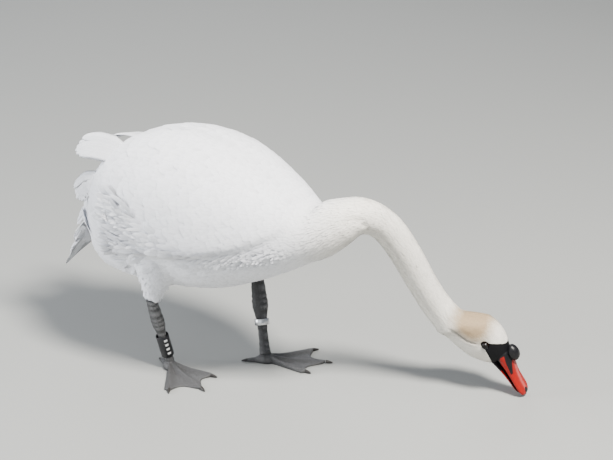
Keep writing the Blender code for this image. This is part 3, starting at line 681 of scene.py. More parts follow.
def vane_mesh(name, kind, root_width, widest_at, tip_power, ragged, seed):
    """A closed feather vane of length 1 and half width about 1, lying flat along +Y.

    Its rise is kept as attributes, so that the coat can be laid on the skin afterwards: lift grows
    from the root to the tip, and swell is the vane's own crown and thickness. A scute is crowned on
    both sides, and the other kinds are flat beneath.
    """
    draw = np.random.default_rng(seed)
    points, lift, swell, uv, rows = [], [], [], [], []
    for along in STATIONS[kind]:
        if along < widest_at:
            half = root_width + (1.0 - root_width) * math.sin(math.pi / 2 * along / widest_at)
        else:
            half = max(0.0, 1.0 - ((along - widest_at) / (1.0 - widest_at)) ** tip_power) ** 0.5
        half *= 1.0 + ragged * draw.uniform(-1, 1)
        skew = ragged * 0.5 * draw.uniform(-1, 1)
        beneath = ((0.0, -0.9),) if kind == "scute" else ()
        row = []
        for across, up in ((-half, -0.5), (0.0, 1.0), (half, -0.5)) + beneath:
            row.append(len(points))
            points.append((across + skew * along, along, 0.0))
            lift.append(along ** 1.3)
            swell.append(up)
            uv.append((0.5 + across / 2.0, along))
        rows.append(row)
    tip = len(points)
    points.append((0.0, 1.0, 0.0))
    lift.append(1.0)
    swell.append(-0.2)
    uv.append((0.5, 1.0))
    last = rows[-1]
    faces = band_faces(len(rows), len(last))
    faces += [(last[i], last[(i + 1) % len(last)], tip) for i in range(len(last))]
    faces.append(tuple(reversed(rows[0])))
    mesh = mesh_from(name, points, [tuple(reversed(face)) for face in faces])
    note(mesh, lift_share=lift, swell_share=swell)
    rim = {row[0] for row in rows} | {row[2] for row in rows} | {tip}
    note(mesh, "EDGE", sharp_edge=[set(edge.vertices) <= rim for edge in mesh.edges])
    map_points(mesh, "vane", uv)
    return mesh


def vane_set(name, kind, count, **shape):
    """A collection of a few vanes to pick from, kept out of the render."""
    group = bpy.data.collections.new(name)
    for index in range(count):
        mesh = vane_mesh(f"{name}_{index}", kind, seed=40 + index, **shape)
        group.objects.link(bpy.data.objects.new(f"{name}_{index}", mesh))
    return group


def coat_tree():
    """Lays one vane at every root point, then hugs it to the skin and gives it its bake patch."""
    tree = bpy.data.node_groups.new("feather coat", "GeometryNodeTree")
    sockets = {}
    for name, kind, way in (("Roots", "Geometry", "INPUT"), ("Vanes", "Collection", "INPUT"),
                            ("Skin", "Object", "INPUT"), ("Finish", "Material", "INPUT"),
                            ("Thickness", "Float", "INPUT"), ("Bake patch", "Float", "INPUT"),
                            ("Coat", "Geometry", "OUTPUT")):
        sockets[name] = tree.interface.new_socket(name, in_out=way, socket_type="NodeSocket" + kind)
    given = tree.nodes.new("NodeGroupInput").outputs

    def made(kind, inputs, output=0, **settings):
        return add(tree, kind, inputs=inputs, **settings).outputs[output]

    def named(name, kind="FLOAT"):
        return made("GeometryNodeInputNamedAttribute", {"Name": name}, "Attribute", data_type=kind)

    def vector_math(operation, first, second):
        key = "Scale" if operation == "SCALE" else 1
        return made("ShaderNodeVectorMath", {0: first, key: second}, operation=operation)

    vanes = made("GeometryNodeCollectionInfo", {
        "Collection": given["Vanes"], "Separate Children": True, "Reset Children": True})
    outward = named("outward", "FLOAT_VECTOR")
    turn = made("FunctionNodeAxesToRotation", {
        "Primary Axis": outward, "Secondary Axis": named("lie", "FLOAT_VECTOR")},
        primary_axis="Z", secondary_axis="Y")
    laid = made("GeometryNodeInstanceOnPoints", {
        "Points": given["Roots"], "Instance": vanes, "Pick Instance": True,
        "Instance Index": named("pick", "INT"), "Rotation": turn,
        "Scale": named("size", "FLOAT_VECTOR")})
    real = made("GeometryNodeRealizeInstances", {"Geometry": laid})
    skin = made("GeometryNodeObjectInfo", {"Object": given["Skin"]}, "Geometry")
    flat = made("GeometryNodeInputPosition", {})
    near = made("GeometryNodeProximity", {"Geometry": skin, "Sample Position": flat}, "Position",
                target_element="FACES")
    out = made("GeometryNodeSampleNearestSurface", {
        "Mesh": skin, "Value": outward, "Sample Position": flat}, data_type="FLOAT_VECTOR")
    step = vector_math("SCALE", vector_math("SUBTRACT", near, flat), named("hug"))
    height = maths(tree, "ADD", maths(tree, "MULTIPLY", named("lift_share"), named("lift")),
                   maths(tree, "MULTIPLY", named("swell_share"), given["Thickness"]))
    offset = vector_math("ADD", step, vector_math("SCALE", out, height))
    moved = made("GeometryNodeSetPosition", {"Geometry": real, "Offset": offset})
    smooth = made("GeometryNodeSetShadeSmooth", {"Geometry": moved})
    patch = vector_math("ADD", named("root_uv", "FLOAT_VECTOR"),
                        vector_math("SCALE", named("vane", "FLOAT_VECTOR"), given["Bake patch"]))
    mapped = made("GeometryNodeStoreNamedAttribute", {
        "Geometry": smooth, "Name": "OFBake", "Value": patch}, data_type="FLOAT2", domain="CORNER")
    again = made("GeometryNodeRealizeInstances", {"Geometry": mapped})
    finish = made("GeometryNodeSetMaterial", {"Geometry": again, "Material": given["Finish"]})
    result = tree.nodes.new("NodeGroupOutput")
    tree.links.new(finish, result.inputs["Coat"])
    return tree, sockets


COAT_TREE, COAT_SOCKETS = coat_tree()
KEPT_LAYERS = ("position", "tint", "vane", "OFBake", "material_index", "sharp_face", "sharp_edge")
CROWDING = 5.0                  # root points tried for each that there is room for
LIFT_SPREAD, SHADE_SPREAD = 0.18, 0.030     # how much one vane's lift and shade stray, as shares


class Field:
    """What the skin says at random places on it: place, normal, lie, colour, shares and map."""

    def __init__(self, skin, shares, seed):
        mesh = skin.data
        mesh.calc_loop_triangles()
        self.corner = gathered(mesh.loop_triangles, "vertices", 3, np.int32)
        self.loop = gathered(mesh.loop_triangles, "loops", 3, np.int32)
        self.places = places_of(mesh)
        sides = self.places[self.corner]
        self.area = 0.5 * np.linalg.norm(
            np.cross(sides[:, 1] - sides[:, 0], sides[:, 2] - sides[:, 0]), axis=1)
        self.layers = {name: gathered(mesh.attributes[name].data, field, width, np.float32)
                       for name, field, width in (("lie", "vector", 3), ("outward", "vector", 3),
                                                  ("tint", "color", 4))}
        self.shares = shares
        self.uv = gathered(mesh.uv_layers["OFBake"].data, "uv", 2, np.float32)
        self.draw = np.random.default_rng(seed)

    def scatter(self, wanted, spacing_of):
        """Root points no closer than the spacing that spacing_of gives, over the places wanted.

        wanted and spacing_of take points, normals and region shares as arrays; a number is one
        spacing for all.
        """
        middle = self.places[self.corner].mean(axis=1)
        out = self.layers["outward"][self.corner].mean(axis=1)
        shares = self.shares[self.corner].mean(axis=1)
        open_here = wanted(middle, out, shares)
        spacing = spacing_of(middle) if callable(spacing_of) else np.full(len(middle), spacing_of)
        expected = np.where(open_here, self.area / (spacing ** 2) * CROWDING, 0.0)
        number = self.draw.poisson(expected)
        face = np.repeat(np.arange(len(number)), number)
        first, second = self.draw.random(len(face)), self.draw.random(len(face))
        fold = first + second > 1.0
        first[fold], second[fold] = 1.0 - first[fold], 1.0 - second[fold]
        mix = np.stack((1.0 - first - second, first, second), axis=1)[:, :, None]
        points = (self.places[self.corner[face]] * mix).sum(1)
        gap = spacing[face]
        order = self.draw.permutation(len(face))
        tree = KDTree(len(face))
        for index, point in enumerate(points):
            tree.insert(point, index)
        tree.balance()
        free = np.ones(len(face), bool)
        kept = []
        for index in order:
            if free[index]:
                kept.append(index)
                for _, other, _ in tree.find_range(points[index], gap[index]):
                    free[other] = False
        kept = np.array(kept)
        corner, mix = self.corner[face[kept]], mix[kept]
        found = {name: (layer[corner] * mix).sum(1) for name, layer in self.layers.items()}
        found["uv"] = (self.uv[self.loop[face[kept]]] * mix).sum(1)
        found["points"] = points[kept]
        found["outward"] = unit(found["outward"])
        return found


def lay_coat(name, slot, found, vanes, skin, finish, length, width, lift, thickness, seed, hug=1.0,
             stray=0.12, fluff=0.15):
    """Makes one coat piece from roots. length, width, lift, hug and stray are numbers or arrays."""
    draw = np.random.default_rng(seed)
    count = len(found["points"])
    across = np.cross(found["outward"], found["lie"])
    way = unit(found["lie"] + across * draw.normal(0.0, stray, (count, 1)))
    scale = 1.0 + draw.normal(0.0, fluff, (count, 1)).clip(-0.4, 0.4)
    size = np.ones((count, 3))
    size[:, [0]] = np.reshape(width, (-1, 1)) * scale
    size[:, [1]] = np.reshape(length, (-1, 1)) * scale
    mesh = mesh_from(name + "_roots", found["points"], [])
    note(mesh, lie=way, outward=found["outward"], size=size)
    lifted = np.broadcast_to(lift, count) * (1.0 + draw.normal(0, LIFT_SPREAD, count))
    note(mesh, lift=lifted, hug=np.broadcast_to(hug, count),
         pick=draw.integers(0, len(vanes.objects), count))
    tint = found["tint"].copy()
    tint[:, :3] *= 1.0 - np.abs(draw.normal(0.0, SHADE_SPREAD, (count, 1)))
    note(mesh, tint=tint, root_uv=np.pad(found["uv"], ((0, 0), (0, 1))))
    coat = new_object(name, mesh)
    modifier = coat.modifiers.new("coat", "NODES")
    modifier.node_group = COAT_TREE
    for socket, value in (("Vanes", vanes), ("Skin", skin), ("Finish", finish),
                          ("Thickness", thickness), ("Bake patch", TUFT_PATCH)):
        modifier[COAT_SOCKETS[socket].identifier] = value
    settle(coat)
    for layer in [layer.name for layer in coat.data.attributes]:
        if layer not in KEPT_LAYERS and not layer.startswith("."):
            coat.data.attributes.remove(coat.data.attributes[layer])
    return ready(coat, slot)


# ---- camera, floor and light

CAMERA_PLACE = (1.981, -2.458, 1.474)
CAMERA_DOWN, CAMERA_TURN = math.radians(21.0), math.radians(36.0)
CAMERA_LENS, CAMERA_WIDTH = 112.87, 36.0    # focal length and sensor, in millimetres
FLOOR_HALF = 30.0
LIT_MIDDLE = Vector((0.0, 0.0, 0.2))        # where every light aims
COOL_WHITE = (0.95, 0.97, 1.0)


def build_camera():
    """Seen from the bird's right and ahead of it, from a standing person's height."""
    camera = bpy.data.cameras.new("camera")
    camera.sensor_width = CAMERA_WIDTH
    camera.lens = CAMERA_LENS
    camera.clip_end = 100.0
    thing = new_object("camera", camera)
    thing.location = Vector(CAMERA_PLACE) + Vector((SHIFT.x, SHIFT.y, 0.0))
    thing.rotation_euler = (math.pi / 2 - CAMERA_DOWN, 0.0, CAMERA_TURN)
    SCENE.camera = thing


def build_stage():
    corners = [(x * FLOOR_HALF, y * FLOOR_HALF, 0) for x, y in ((-1, -1), (1, -1), (1, 1), (-1, 1))]
    floor = new_object("floor", mesh_from("floor", corners, ((0, 1, 2, 3),)))
    material, _, shader = node_material("studio_floor")
    shader.inputs["Base Color"].default_value = (0.27, 0.275, 0.265, 1.0)
    shader.inputs["Roughness"].default_value = 0.9
    floor.data.materials.append(material)


def area_light(name, place, size, power, colour):
    light = bpy.data.lights.new(name, "AREA")
    light.shape = "DISK"
    light.size = size
    light.energy = power
    light.color = colour
    thing = new_object(name, light)
    thing.location = place
    thing.rotation_euler = (LIT_MIDDLE - Vector(place)).to_track_quat("-Z", "Y").to_euler()


def build_lights():
    world = bpy.data.worlds.new("studio")
    world.use_nodes = True
    sky = world.node_tree.nodes["Background"].inputs
    sky["Color"].default_value = (0.80, 0.87, 1.0, 1.0)
    sky["Strength"].default_value = 0.38
    SCENE.world = world
    area_light("key", (1.7, -0.6, 3.0), 0.8, 445.0, (1.0, 0.965, 0.91))
    area_light("fill", (0.2, -3.2, 1.6), 2.6, 30.0, (0.92, 0.96, 1.0))
    area_light("rear", (-2.3, -1.9, 1.0), 1.8, 130.0, COOL_WHITE)
    area_light("rim", (-2.4, 2.2, 2.4), 2.0, 60.0, COOL_WHITE)


# ---- gathered shells


class Shells:
    """Gathers closed shells, each with its vane map, its colour and its own cell of the bake's map."""

    CELLS, MARGIN = 9, 0.05     # cells along a side of the map, and the margin in each as a share

    def __init__(self):
        self.points, self.faces, self.vane, self.tint, self.bake = [], [], [], [], []
        self.cells = 0

    def add(self, rows, vane, tint):
        """One shell through rows of equal count, closed at both ends. vane holds (across, along)."""
        start, count = len(self.points), len(rows[0])
        line, column = divmod(self.cells, self.CELLS)
        self.cells += 1
        inside = 1.0 - 2.0 * self.MARGIN
        for row, pairs in zip(rows, vane):
            for point, (across, along) in zip(row, pairs):
                self.points.append(tuple(point))
                self.vane.append((across, along))
                self.tint.append(tint)
                self.bake.append(((column + self.MARGIN + inside * across) / self.CELLS,
                                  (line + self.MARGIN + inside * along) / self.CELLS))
        self.faces += band_faces(len(rows), count, start)
        self.faces.append(tuple(start + i for i in reversed(range(count))))
        self.faces.append(tuple(start + (len(rows) - 1) * count + i for i in range(count)))

    def piece(self, name, material, slot):
        """All the shells as one piece with one finish."""
        mesh = mesh_from(name, self.points, self.faces)
        note(mesh, tint=self.tint)
        map_points(mesh, "OFBake", self.bake)
        map_points(mesh, "vane", self.vane)
        return ready_piece(name, facing_out(mesh), material, slot)


def ready(thing, slot, *nodes):
    """Rides on the body and stands for CAD nodes; slot is not used."""
    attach(thing, "root")
    if nodes:
        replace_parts(thing, *nodes)
    return thing


def ready_piece(name, mesh, material, slot, *nodes):
    """A mesh as an object with one finish, which rides on the body."""
    mesh.materials.append(material)
    return ready(new_object(name, mesh), slot, *nodes)


LINE_POINTS, LINE_ROUNDS = 61, 12       # how finely a line is cut, and how often it is smoothed


def line_at(points, shares):
    """Points on the polyline at shares of its length, rounded at its corners."""
    points = np.array(points, float)
    lengths = lengths_along(points)
    fine = np.linspace(0, lengths[-1], LINE_POINTS)
    line = points_at(fine, lengths, points)
    for _ in range(LINE_ROUNDS):
        line[1:-1] = 0.5 * line[1:-1] + 0.25 * (line[:-2] + line[2:])
    return points_at(np.asarray(shares) * lengths[-1], fine, line)


# ---- quills of the wings and the tail

TERTIALS = {"line": ((-0.170, 0.050, 0.386), (-0.202, 0.052, 0.392), (-0.232, 0.053, 0.392),
                     (-0.259, 0.052, 0.385), (-0.284, 0.050, 0.371)),
            "half": 0.024, "lean": {"R": 42.0, "L": 8.0}, "left_lift": (0.002, 0.0, -0.006),
            "count": 6, "width": 0.0140, "blunt": 2.0}
SECONDARIES = {"line": ((-0.189, 0.078, 0.325), (-0.219, 0.074, 0.327), (-0.246, 0.066, 0.318),
                        (-0.266, 0.060, 0.298), (-0.276, 0.057, 0.276)),
               "half": 0.022, "lean": {"R": 60.0, "L": 60.0}, "left_lift": (-0.005, 0.0, -0.003),
               "count": 6, "width": 0.0105, "blunt": 2.4}
PRIMARIES = {"line": ((-0.215, 0.056, 0.285), (-0.250, 0.042, 0.274), (-0.280, 0.028, 0.254),
                      (-0.305, 0.018, 0.229), (-0.322, 0.012, 0.206)),
             "half": 0.010, "lean": {"R": 60.0, "L": 60.0}, "left_lift": (-0.005, 0.0, -0.003),
             "count": 5, "width": 0.0075, "blunt": 1.6}
TILE_STEP = 0.0022              # from the lowest feather of a bundle to the highest
TAIL_LINE = ((-0.235, 0.0, 0.262), (-0.268, 0.0, 0.232), (-0.305, 0.0, 0.190),
             (-0.338, 0.0, 0.150), (-0.358, 0.0, 0.124), (-0.368, 0.0, 0.110))
TAIL_HALF = (0.050, 0.052, 0.048, 0.036, 0.020, 0.004)      # half the fan's width, root to tip
QUILL_STATIONS = np.concatenate((np.linspace(0.0, 0.80, 12), (0.86, 0.91, 0.95, 0.98, 0.995)))
QUILL_ACROSS = ((-1.0, 0.0), (-0.6, 1.0), (-0.14, 1.0), (0.0, 1.9), (0.14, 1.0), (0.6, 1.0),
                (1.0, 0.0), (0.5, -1.0), (-0.5, -1.0))      # place across, and share of the thickness
QUILL_THICK = 0.0007
TAIL_QUILLS, TAIL_START = 14, 0.10          # how many, and the share of the line where they start
TAIL_WIDTH, TAIL_BLUNT = 0.0128, 1.8
FAN_ROOT, FAN_TIP = 0.016, 0.028            # from the middle to the outermost feather, at either end
ROOT_POINTS = 40                # along the line that the tail's root is narrowed to


def quill(shells, line, up, half, blunt, tint, arch, lead, curl=0.0):
    """One flight feather along a line: a shaft with a vane either side, crowned across by arch."""
    heading = unit(np.gradient(line, axis=0))
    side = unit(np.cross(up, heading))
    over = unit(np.cross(heading, side))
    rows, vane = [], []
    for share, point, out, high in zip(QUILL_STATIONS, line, side, over):
        grown = min(1.0, 0.35 + share * 2.2)
        wide = half * grown * max(0.02, 1.0 - share ** (2.0 * blunt)) ** 0.5
        row, pairs = [], []
        for across, body in QUILL_ACROSS:
            reach = across * wide * (1.0 + lead * across)
            rise = QUILL_THICK * body * 0.5 - arch * across * across * wide
            rise += curl * share ** 3 * half
            row.append(point + out * reach + high * rise)
            pairs.append((0.5 + 0.5 * across, share))
        rows.append(row)
        vane.append(pairs)
    shells.add(rows, vane, tint)


def quill_bundle(shells, bundle, letter, turn, draw):
    """The feathers of one bundle, overlapping like tiles from the outermost to the innermost."""
    lift = Vector(bundle["left_lift"] if letter == "L" else (0, 0, 0))
    points = [Vector((x, turn * y, z)) + lift + SHIFT for x, y, z in bundle["line"]]
    lean = math.radians(bundle["lean"][letter]) * turn
    up = np.array((0.0, math.sin(lean), math.cos(lean)))
    middle = line_at(points, QUILL_STATIONS)
    side = unit(np.cross(up, unit(np.gradient(middle, axis=0))))
    count = bundle["count"]
    for index in range(count):
        spot = -1.0 + 2.0 * index / (count - 1)
        reach = 1.0 - 0.13 * spot * spot - 0.04 * draw.random()
        line = line_at(points, QUILL_STATIONS * reach)
        fan = (bundle["half"] - bundle["width"] * 0.6) * spot
        line = line + side * (fan * (0.75 + 0.35 * QUILL_STATIONS[:, None]))
        line = line + up * (TILE_STEP * (index / (count - 1) - 0.5) * turn)
        tint = tuple(WHITE * (1.0 - 0.03 * draw.random())) + (1.0,)
        quill(shells, line, up, bundle["width"], bundle["blunt"], tint, arch=0.16, lead=0.10,
              curl=0.10 * draw.random())


def build_wing_quills():
    """The three bundles of folded quills on each wing, as one piece a side."""
    draw = np.random.default_rng(21)
    for letter, turn in (("L", 1.0), ("R", -1.0)):
        shells = Shells()
        for bundle in (PRIMARIES, SECONDARIES, TERTIALS):
            quill_bundle(shells, bundle, letter, turn, draw)
        piece = shells.piece("wing_quills_" + letter, QUILL, "wing_feathers")
        nodes = (f"wing_{letter}_{name}" for name in ("tertials", "secondaries", "primaries"))
        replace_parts(piece, *nodes)


def build_tail_fan(points):
    """The tail's quills, in a drooping wedge that closes to a point."""
    draw = np.random.default_rng(22)
    shells = Shells()
    for index in range(TAIL_QUILLS):
        spot = -1.0 + 2.0 * index / (TAIL_QUILLS - 1)
        tip = 1.0 - 0.34 * abs(spot) ** 1.3 - 0.02 * draw.random()
        shares = TAIL_START + (tip - TAIL_START) * QUILL_STATIONS
        line = line_at(points, shares)
        reach = np.interp(shares, np.linspace(0.0, 1.0, len(TAIL_HALF)), TAIL_HALF)
        fan = FAN_ROOT + (FAN_TIP - FAN_ROOT) * QUILL_STATIONS
        line[:, 1] += spot * fan * np.minimum(1.0, reach / 0.030)
        line[:, 2] += 0.0010 - 0.0022 * abs(spot)
        tint = tuple(WHITE * (1.0 - 0.02 * draw.random())) + (1.0,)
        up = np.array((-0.8, 0.75 * spot, 0.6))
        quill(shells, line, up, TAIL_WIDTH, TAIL_BLUNT, tint, arch=0.14,
              lead=0.12 * math.copysign(1.0, spot))
    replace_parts(shells.piece("tail_quills", QUILL, "tail_feathers"), "tail")


def build_tail_root(points):
    """The padded root of the tail, narrowed behind, with the coverts that it carries."""
    root = new_object("tail_root", padded_copy("tail", -0.0022))
    mesh = root.data
    places = places_of(mesh)
    line = line_at(points, np.linspace(0, 1, ROOT_POINTS))
    nearest = nearest_on(line, places)
    narrowing = smoothstep(nearest / (ROOT_POINTS - 1.0), 0.42, 0.66)[:, None]
    places = places + (line[nearest] - places) * 0.95 * narrowing
    put_places(mesh, places)
    normals = normals_of(mesh)
    lie = unit(np.gradient(line, axis=0))[nearest]
    lie[:, 1] += (places[:, 1] - SHIFT.y) * 4.0         # the coverts fan out from the middle
    note(mesh, lie=laid_flat(lie, normals), outward=normals,
         tint=opaque(np.tile(WHITE, (len(places), 1))))
    unwrap(root)
    mesh.materials.append(DOWN)
    ready(root, "tail_feathers")
    field = Field(root, np.ones((len(places), 1)), 14)
    found = field.scatter(lambda p, n, s: p[:, 0] - SHIFT.x > -0.312, 0.0085)
    lay_coat("tail_coverts", "tail_feathers", found, COVERT_VANES, root, FEATHER, length=0.046,
             width=0.0120, lift=0.0022, thickness=0.0004, seed=15, hug=0.8, stray=0.06)


def build_tail():
    points = [Vector(point) + SHIFT for point in TAIL_LINE]
    build_tail_fan(points)
    build_tail_root(points)


def padded_copy(node, swell, levels=2, rounds=6):
    """A welded and rounded copy of a CAD node's mesh, moved out along its normals by swell."""
    shape = welded(node, swell)
    for _ in range(levels):
        bmesh.ops.subdivide_edges(shape, edges=shape.edges, cuts=1, use_grid_fill=True)
    mesh = written(shape, bpy.data.meshes.new(node + "_copy"))
    put_places(mesh, spread(mesh, places_of(mesh), rounds))
    mesh.shade_smooth()
    return mesh


# ---- bill, knob and eyes

# Each row of a profile holds a place along the bill, its top, its bottom and half its width there.
BILL_PROFILE = ((0.0235, 0.0175, -0.0090, 0.0158), (0.0300, 0.0205, -0.0098, 0.0182),
                (0.0368, 0.0190, -0.0090, 0.0180), (0.048, 0.0170, -0.0085, 0.0168),
                (0.060, 0.0130, -0.0080, 0.0158), (0.073, 0.0080, -0.0075, 0.0158),
                (0.087, 0.0045, -0.0070, 0.0170), (0.100, 0.0025, -0.0068, 0.0176),
                (0.109, 0.0012, -0.0070, 0.0155), (0.115, -0.0005, -0.0078, 0.0105),
                (0.118, -0.0030, -0.0085, 0.0045))
JAW_PROFILE = ((0.0300, -0.0096, -0.0205, 0.0154), (0.0368, -0.0093, -0.0195, 0.0150),
               (0.052, -0.0088, -0.0165, 0.0140), (0.068, -0.0083, -0.0142, 0.0132),
               (0.085, -0.0078, -0.0125, 0.0136), (0.099, -0.0076, -0.0115, 0.0132),
               (0.107, -0.0079, -0.0105, 0.0095), (0.1105, -0.0083, -0.0098, 0.0045))
KNOB_MIDDLE, KNOB_HALF = (0.0385, 0.0, 0.0232), (0.0155, 0.0108, 0.0108)
KNOB_TILT = math.radians(14.0)          # nose down from the head's own forward
EYE_PLACE, EYE_RADIUS = np.array((-0.003, 0.0265, 0.001)), 0.0063
LID_REACH, LID_STEPS = math.radians(70.0), 64       # from the eye's middle to the lid's outer edge
LID_SECTION = ((0.0, 0.00010), (0.05, 0.00050), (0.20, 0.00085), (0.52, 0.00065), (1.0, -0.0009),
               (1.0, -0.0022), (0.45, -0.0012), (0.08, -0.0006))    # share of the reach, and rise
NOSTRIL = {"x": 0.0590, "z": 0.0078, "long": 0.0062, "high": 0.0013, "tilt": -0.36, "deep": 0.0016}
MILLIMETRES = 1000.0            # the bill's and the eye's finishes read millimetres
BILL_STATIONS, BILL_SIDES = 96, 72
TIP_ROUNDING = 0.0035


def read(knots, x, column):
    """A smooth curve through the knots (place, value, ...), read at an array of places."""
    places = np.array([knot[0] for knot in knots])
    values = np.array([knot[column] for knot in knots])
    slopes = np.gradient(values, places)
    x = np.clip(x, places[0], places[-1])
    slot = np.clip(np.searchsorted(places, x, side="right") - 1, 0, len(places) - 2)
    span = places[slot + 1] - places[slot]
    share = (x - places[slot]) / span
    square, cube = share ** 2, share ** 3
    return ((2 * cube - 3 * square + 1) * values[slot]
            + (cube - 2 * square + share) * span * slopes[slot]
            + (3 * square - 2 * cube) * values[slot + 1] + (cube - square) * span * slopes[slot + 1])


# The bare lores lie between these two lines, along and up, in the head's own place.
LORES_TOP = ((-0.0105, 0.0005), (-0.0028, 0.0083), (0.003, 0.0155), (0.0098, 0.0214), (0.0161, 0.0249),
             (0.0240, 0.0300))
LORES_LOW = ((-0.0105, -0.0030), (0.0011, -0.0030), (0.0103, -0.0045), (0.022, -0.0080),
             (0.0341, -0.0135))


def lores(own):
    """Above 0 on the bare black skin between the eye and the bill; distance in metres."""
    x, y, z = own[:, 0], np.abs(own[:, 1]), own[:, 2]
    below_top = np.interp(x, *zip(*LORES_TOP)) - z
    above_low = z - np.interp(x, *zip(*LORES_LOW))
    side = np.minimum(np.minimum(below_top, above_low), x + 0.0030)
    frontal = x - 0.0250 - 0.0060 * smoothstep(-z, 0.0, 0.012)
    off = np.stack((x, y, z), axis=1) - EYE_PLACE
    round_eye = 0.0086 - np.linalg.norm(off * np.array((0.95, 1.0, 1.30)), axis=1)
    return np.maximum.reduce((side, frontal, round_eye)) - 0.010 * smoothstep(-z, 0.016, 0.022)


def bill_shell(profile, top):
    """Rows of points round a mandible, in the head's own coordinates."""
    share = np.sin(np.linspace(0.0, 0.5 * math.pi, BILL_STATIONS)) ** 0.9
    x = profile[0][0] + (profile[-1][0] - profile[0][0]) * share
    high, low, half = (read(profile, x, column) for column in (1, 2, 3))
    beyond = np.clip((x - profile[-1][0]) / TIP_ROUNDING + 1.0, 0.0, 1.0)
    closing = np.sqrt(np.maximum(1.0 - beyond ** 2, 1e-3))
    angle = 2.0 * math.pi * np.arange(BILL_SIDES) / BILL_SIDES
    cosine, sine = np.cos(angle), np.sin(angle)
    rows = []
    for place, above, below, wide, close in zip(x, high, low, half, closing):
        above, below = (above + below) / 2.0 + np.array((0.5, -0.5)) * (above - below) * close
        wide = wide * close
        fullness = 2.0 + 0.5 * float(smoothstep(place, 0.06, 0.10))
        across = np.sign(cosine) * np.abs(cosine) ** (2.0 / fullness) * wide
        middle, tall = (above + below) / 2.0, (above - below) / 2.0
        up = middle + np.sign(sine) * np.abs(sine) ** (2.0 / fullness) * tall
        rim = np.exp(-((up - below) / 0.0016) ** 2) if top else np.exp(-((up - above) / 0.0014) ** 2)
        across = across * (1.0 + 0.022 * rim)
        rows.append(np.stack((np.full(BILL_SIDES, place), across, up), axis=1))
    return rows


def bill_layers(own, top):
    """How far inside the black parts a point is, in metres, and how deep its nostril lies."""
    x, y, z = own[:, 0], own[:, 1], own[:, 2]
    low = read(BILL_PROFILE, x, 2)
    if not top:
        edge = read(JAW_PROFILE, x, 1)
        return np.maximum(0.0016 - np.abs(z - edge), 0.0560 - x), np.zeros(len(x))
    base = 0.0330 - x + 0.018 * smoothstep(-z, -0.006, 0.009)
    along = x - NOSTRIL["x"]
    over = z - (NOSTRIL["z"] + NOSTRIL["tilt"] * along)
    patch = 0.0046 - np.abs(over) - 0.12 * np.maximum(x - 0.046, 0.0)
    strip = np.minimum(patch, (0.0695 - x) * 0.5)
    nail = 0.0062 - np.sqrt(((x - 0.1135) * 0.85) ** 2 + (y * 1.05) ** 2)
    cutting = low + 0.0008 + 0.0010 * smoothstep(x, 0.095, 0.112) - z
    slit = 1.0 - np.sqrt((along / NOSTRIL["long"]) ** 2 + (over / NOSTRIL["high"]) ** 2)
    return np.maximum.reduce((base, strip, nail, cutting)), smoothstep(slit, 0.0, 0.7)


def build_mandible(name, profile, top, node):
    """One half of the bill, with the nostrils pressed into the upper one."""
    rows = bill_shell(profile, top)
    own = np.concatenate(rows)
    black, slit = bill_layers(own, top)
    out = own - (own * (1.0, 0.0, 0.0) + (0.0, 0.0, -0.001))
    own = own - unit(out) * (slit * NOSTRIL["deep"])[:, None]
    faces = band_faces(len(rows), BILL_SIDES)
    faces.append(tuple(range(BILL_SIDES)))
    faces.append(tuple((len(rows) - 1) * BILL_SIDES + i for i in range(BILL_SIDES)))
    mesh = facing_out(mesh_from(name, turned(HEAD, own), faces))
    note(mesh, black=black * MILLIMETRES, own=own * MILLIMETRES, slit=slit)
    ready_piece(name, mesh, BILL, "bill_skin", node)


def sphere(name, middle, half, segments, rings, shape=None, tilt=0.0):
    """A closed ball in the head's own coordinates, changed by shape(unit points) if given."""
    ball = bmesh.new()
    bmesh.ops.create_uvsphere(ball, u_segments=segments, v_segments=rings, radius=1.0)
    ball.verts.index_update()
    faces = sorted([vert.index for vert in face.verts] for face in ball.faces)  # one order each run
    mesh = mesh_from(name, [vert.co for vert in ball.verts], faces)
    ball.free()
    units = places_of(mesh)
    scale = np.ones((len(units), 1)) if shape is None else shape(units)
    turn = np.array(Matrix.Rotation(tilt, 3, "Y"))
    own = np.array(middle) + (units * scale * np.array(half)) @ turn.T
    put_places(mesh, turned(HEAD, own))
    note(mesh, own=own * MILLIMETRES)
    return facing_out(mesh)


def knob_shape(units):
    """A knob with a shallow furrow over its top and a pinched waist where it meets the bill."""
    furrow = 0.05 * np.exp(-(units[:, 1] / 0.18) ** 2) * smoothstep(units[:, 2], -0.2, 0.6)
    lean = 0.06 * units[:, 0] * smoothstep(units[:, 2], 0.0, 1.0)
    return (1.0 - furrow + lean)[:, None]


def eyelid(name, turn):
    """The rim of bare skin round an eye, with an almond opening, as one closed ring."""
    out = unit(np.array((0.10, turn, 0.04)))
    ahead = unit(np.cross(np.cross(out, (1.0, 0.0, 0.0)), out))
    above = np.cross(ahead, out) * -turn
    rows = []
    for step in range(LID_STEPS):
        angle = 2.0 * math.pi * step / LID_STEPS
        pointed = abs(math.cos(angle)) ** 3
        opening = math.radians(29.0 + 22.0 * pointed - 5.0 * max(0.0, math.sin(angle)))
        way = ahead * math.cos(angle) + above * math.sin(angle)
        row = []
        for share, rise in LID_SECTION:
            polar = opening + (LID_REACH - opening) * share
            arm = (out * math.cos(polar) + way * math.sin(polar)) * (EYE_RADIUS + rise)
            row.append(EYE_PLACE * (1.0, turn, 1.0) + arm)
        rows.append(row)
    faces = band_faces(LID_STEPS, len(LID_SECTION), wraps=True)
    mesh = facing_out(mesh_from(name, turned(HEAD, np.concatenate(rows)), faces))
    ready_piece(name, mesh, KNOB, "knob_skin")


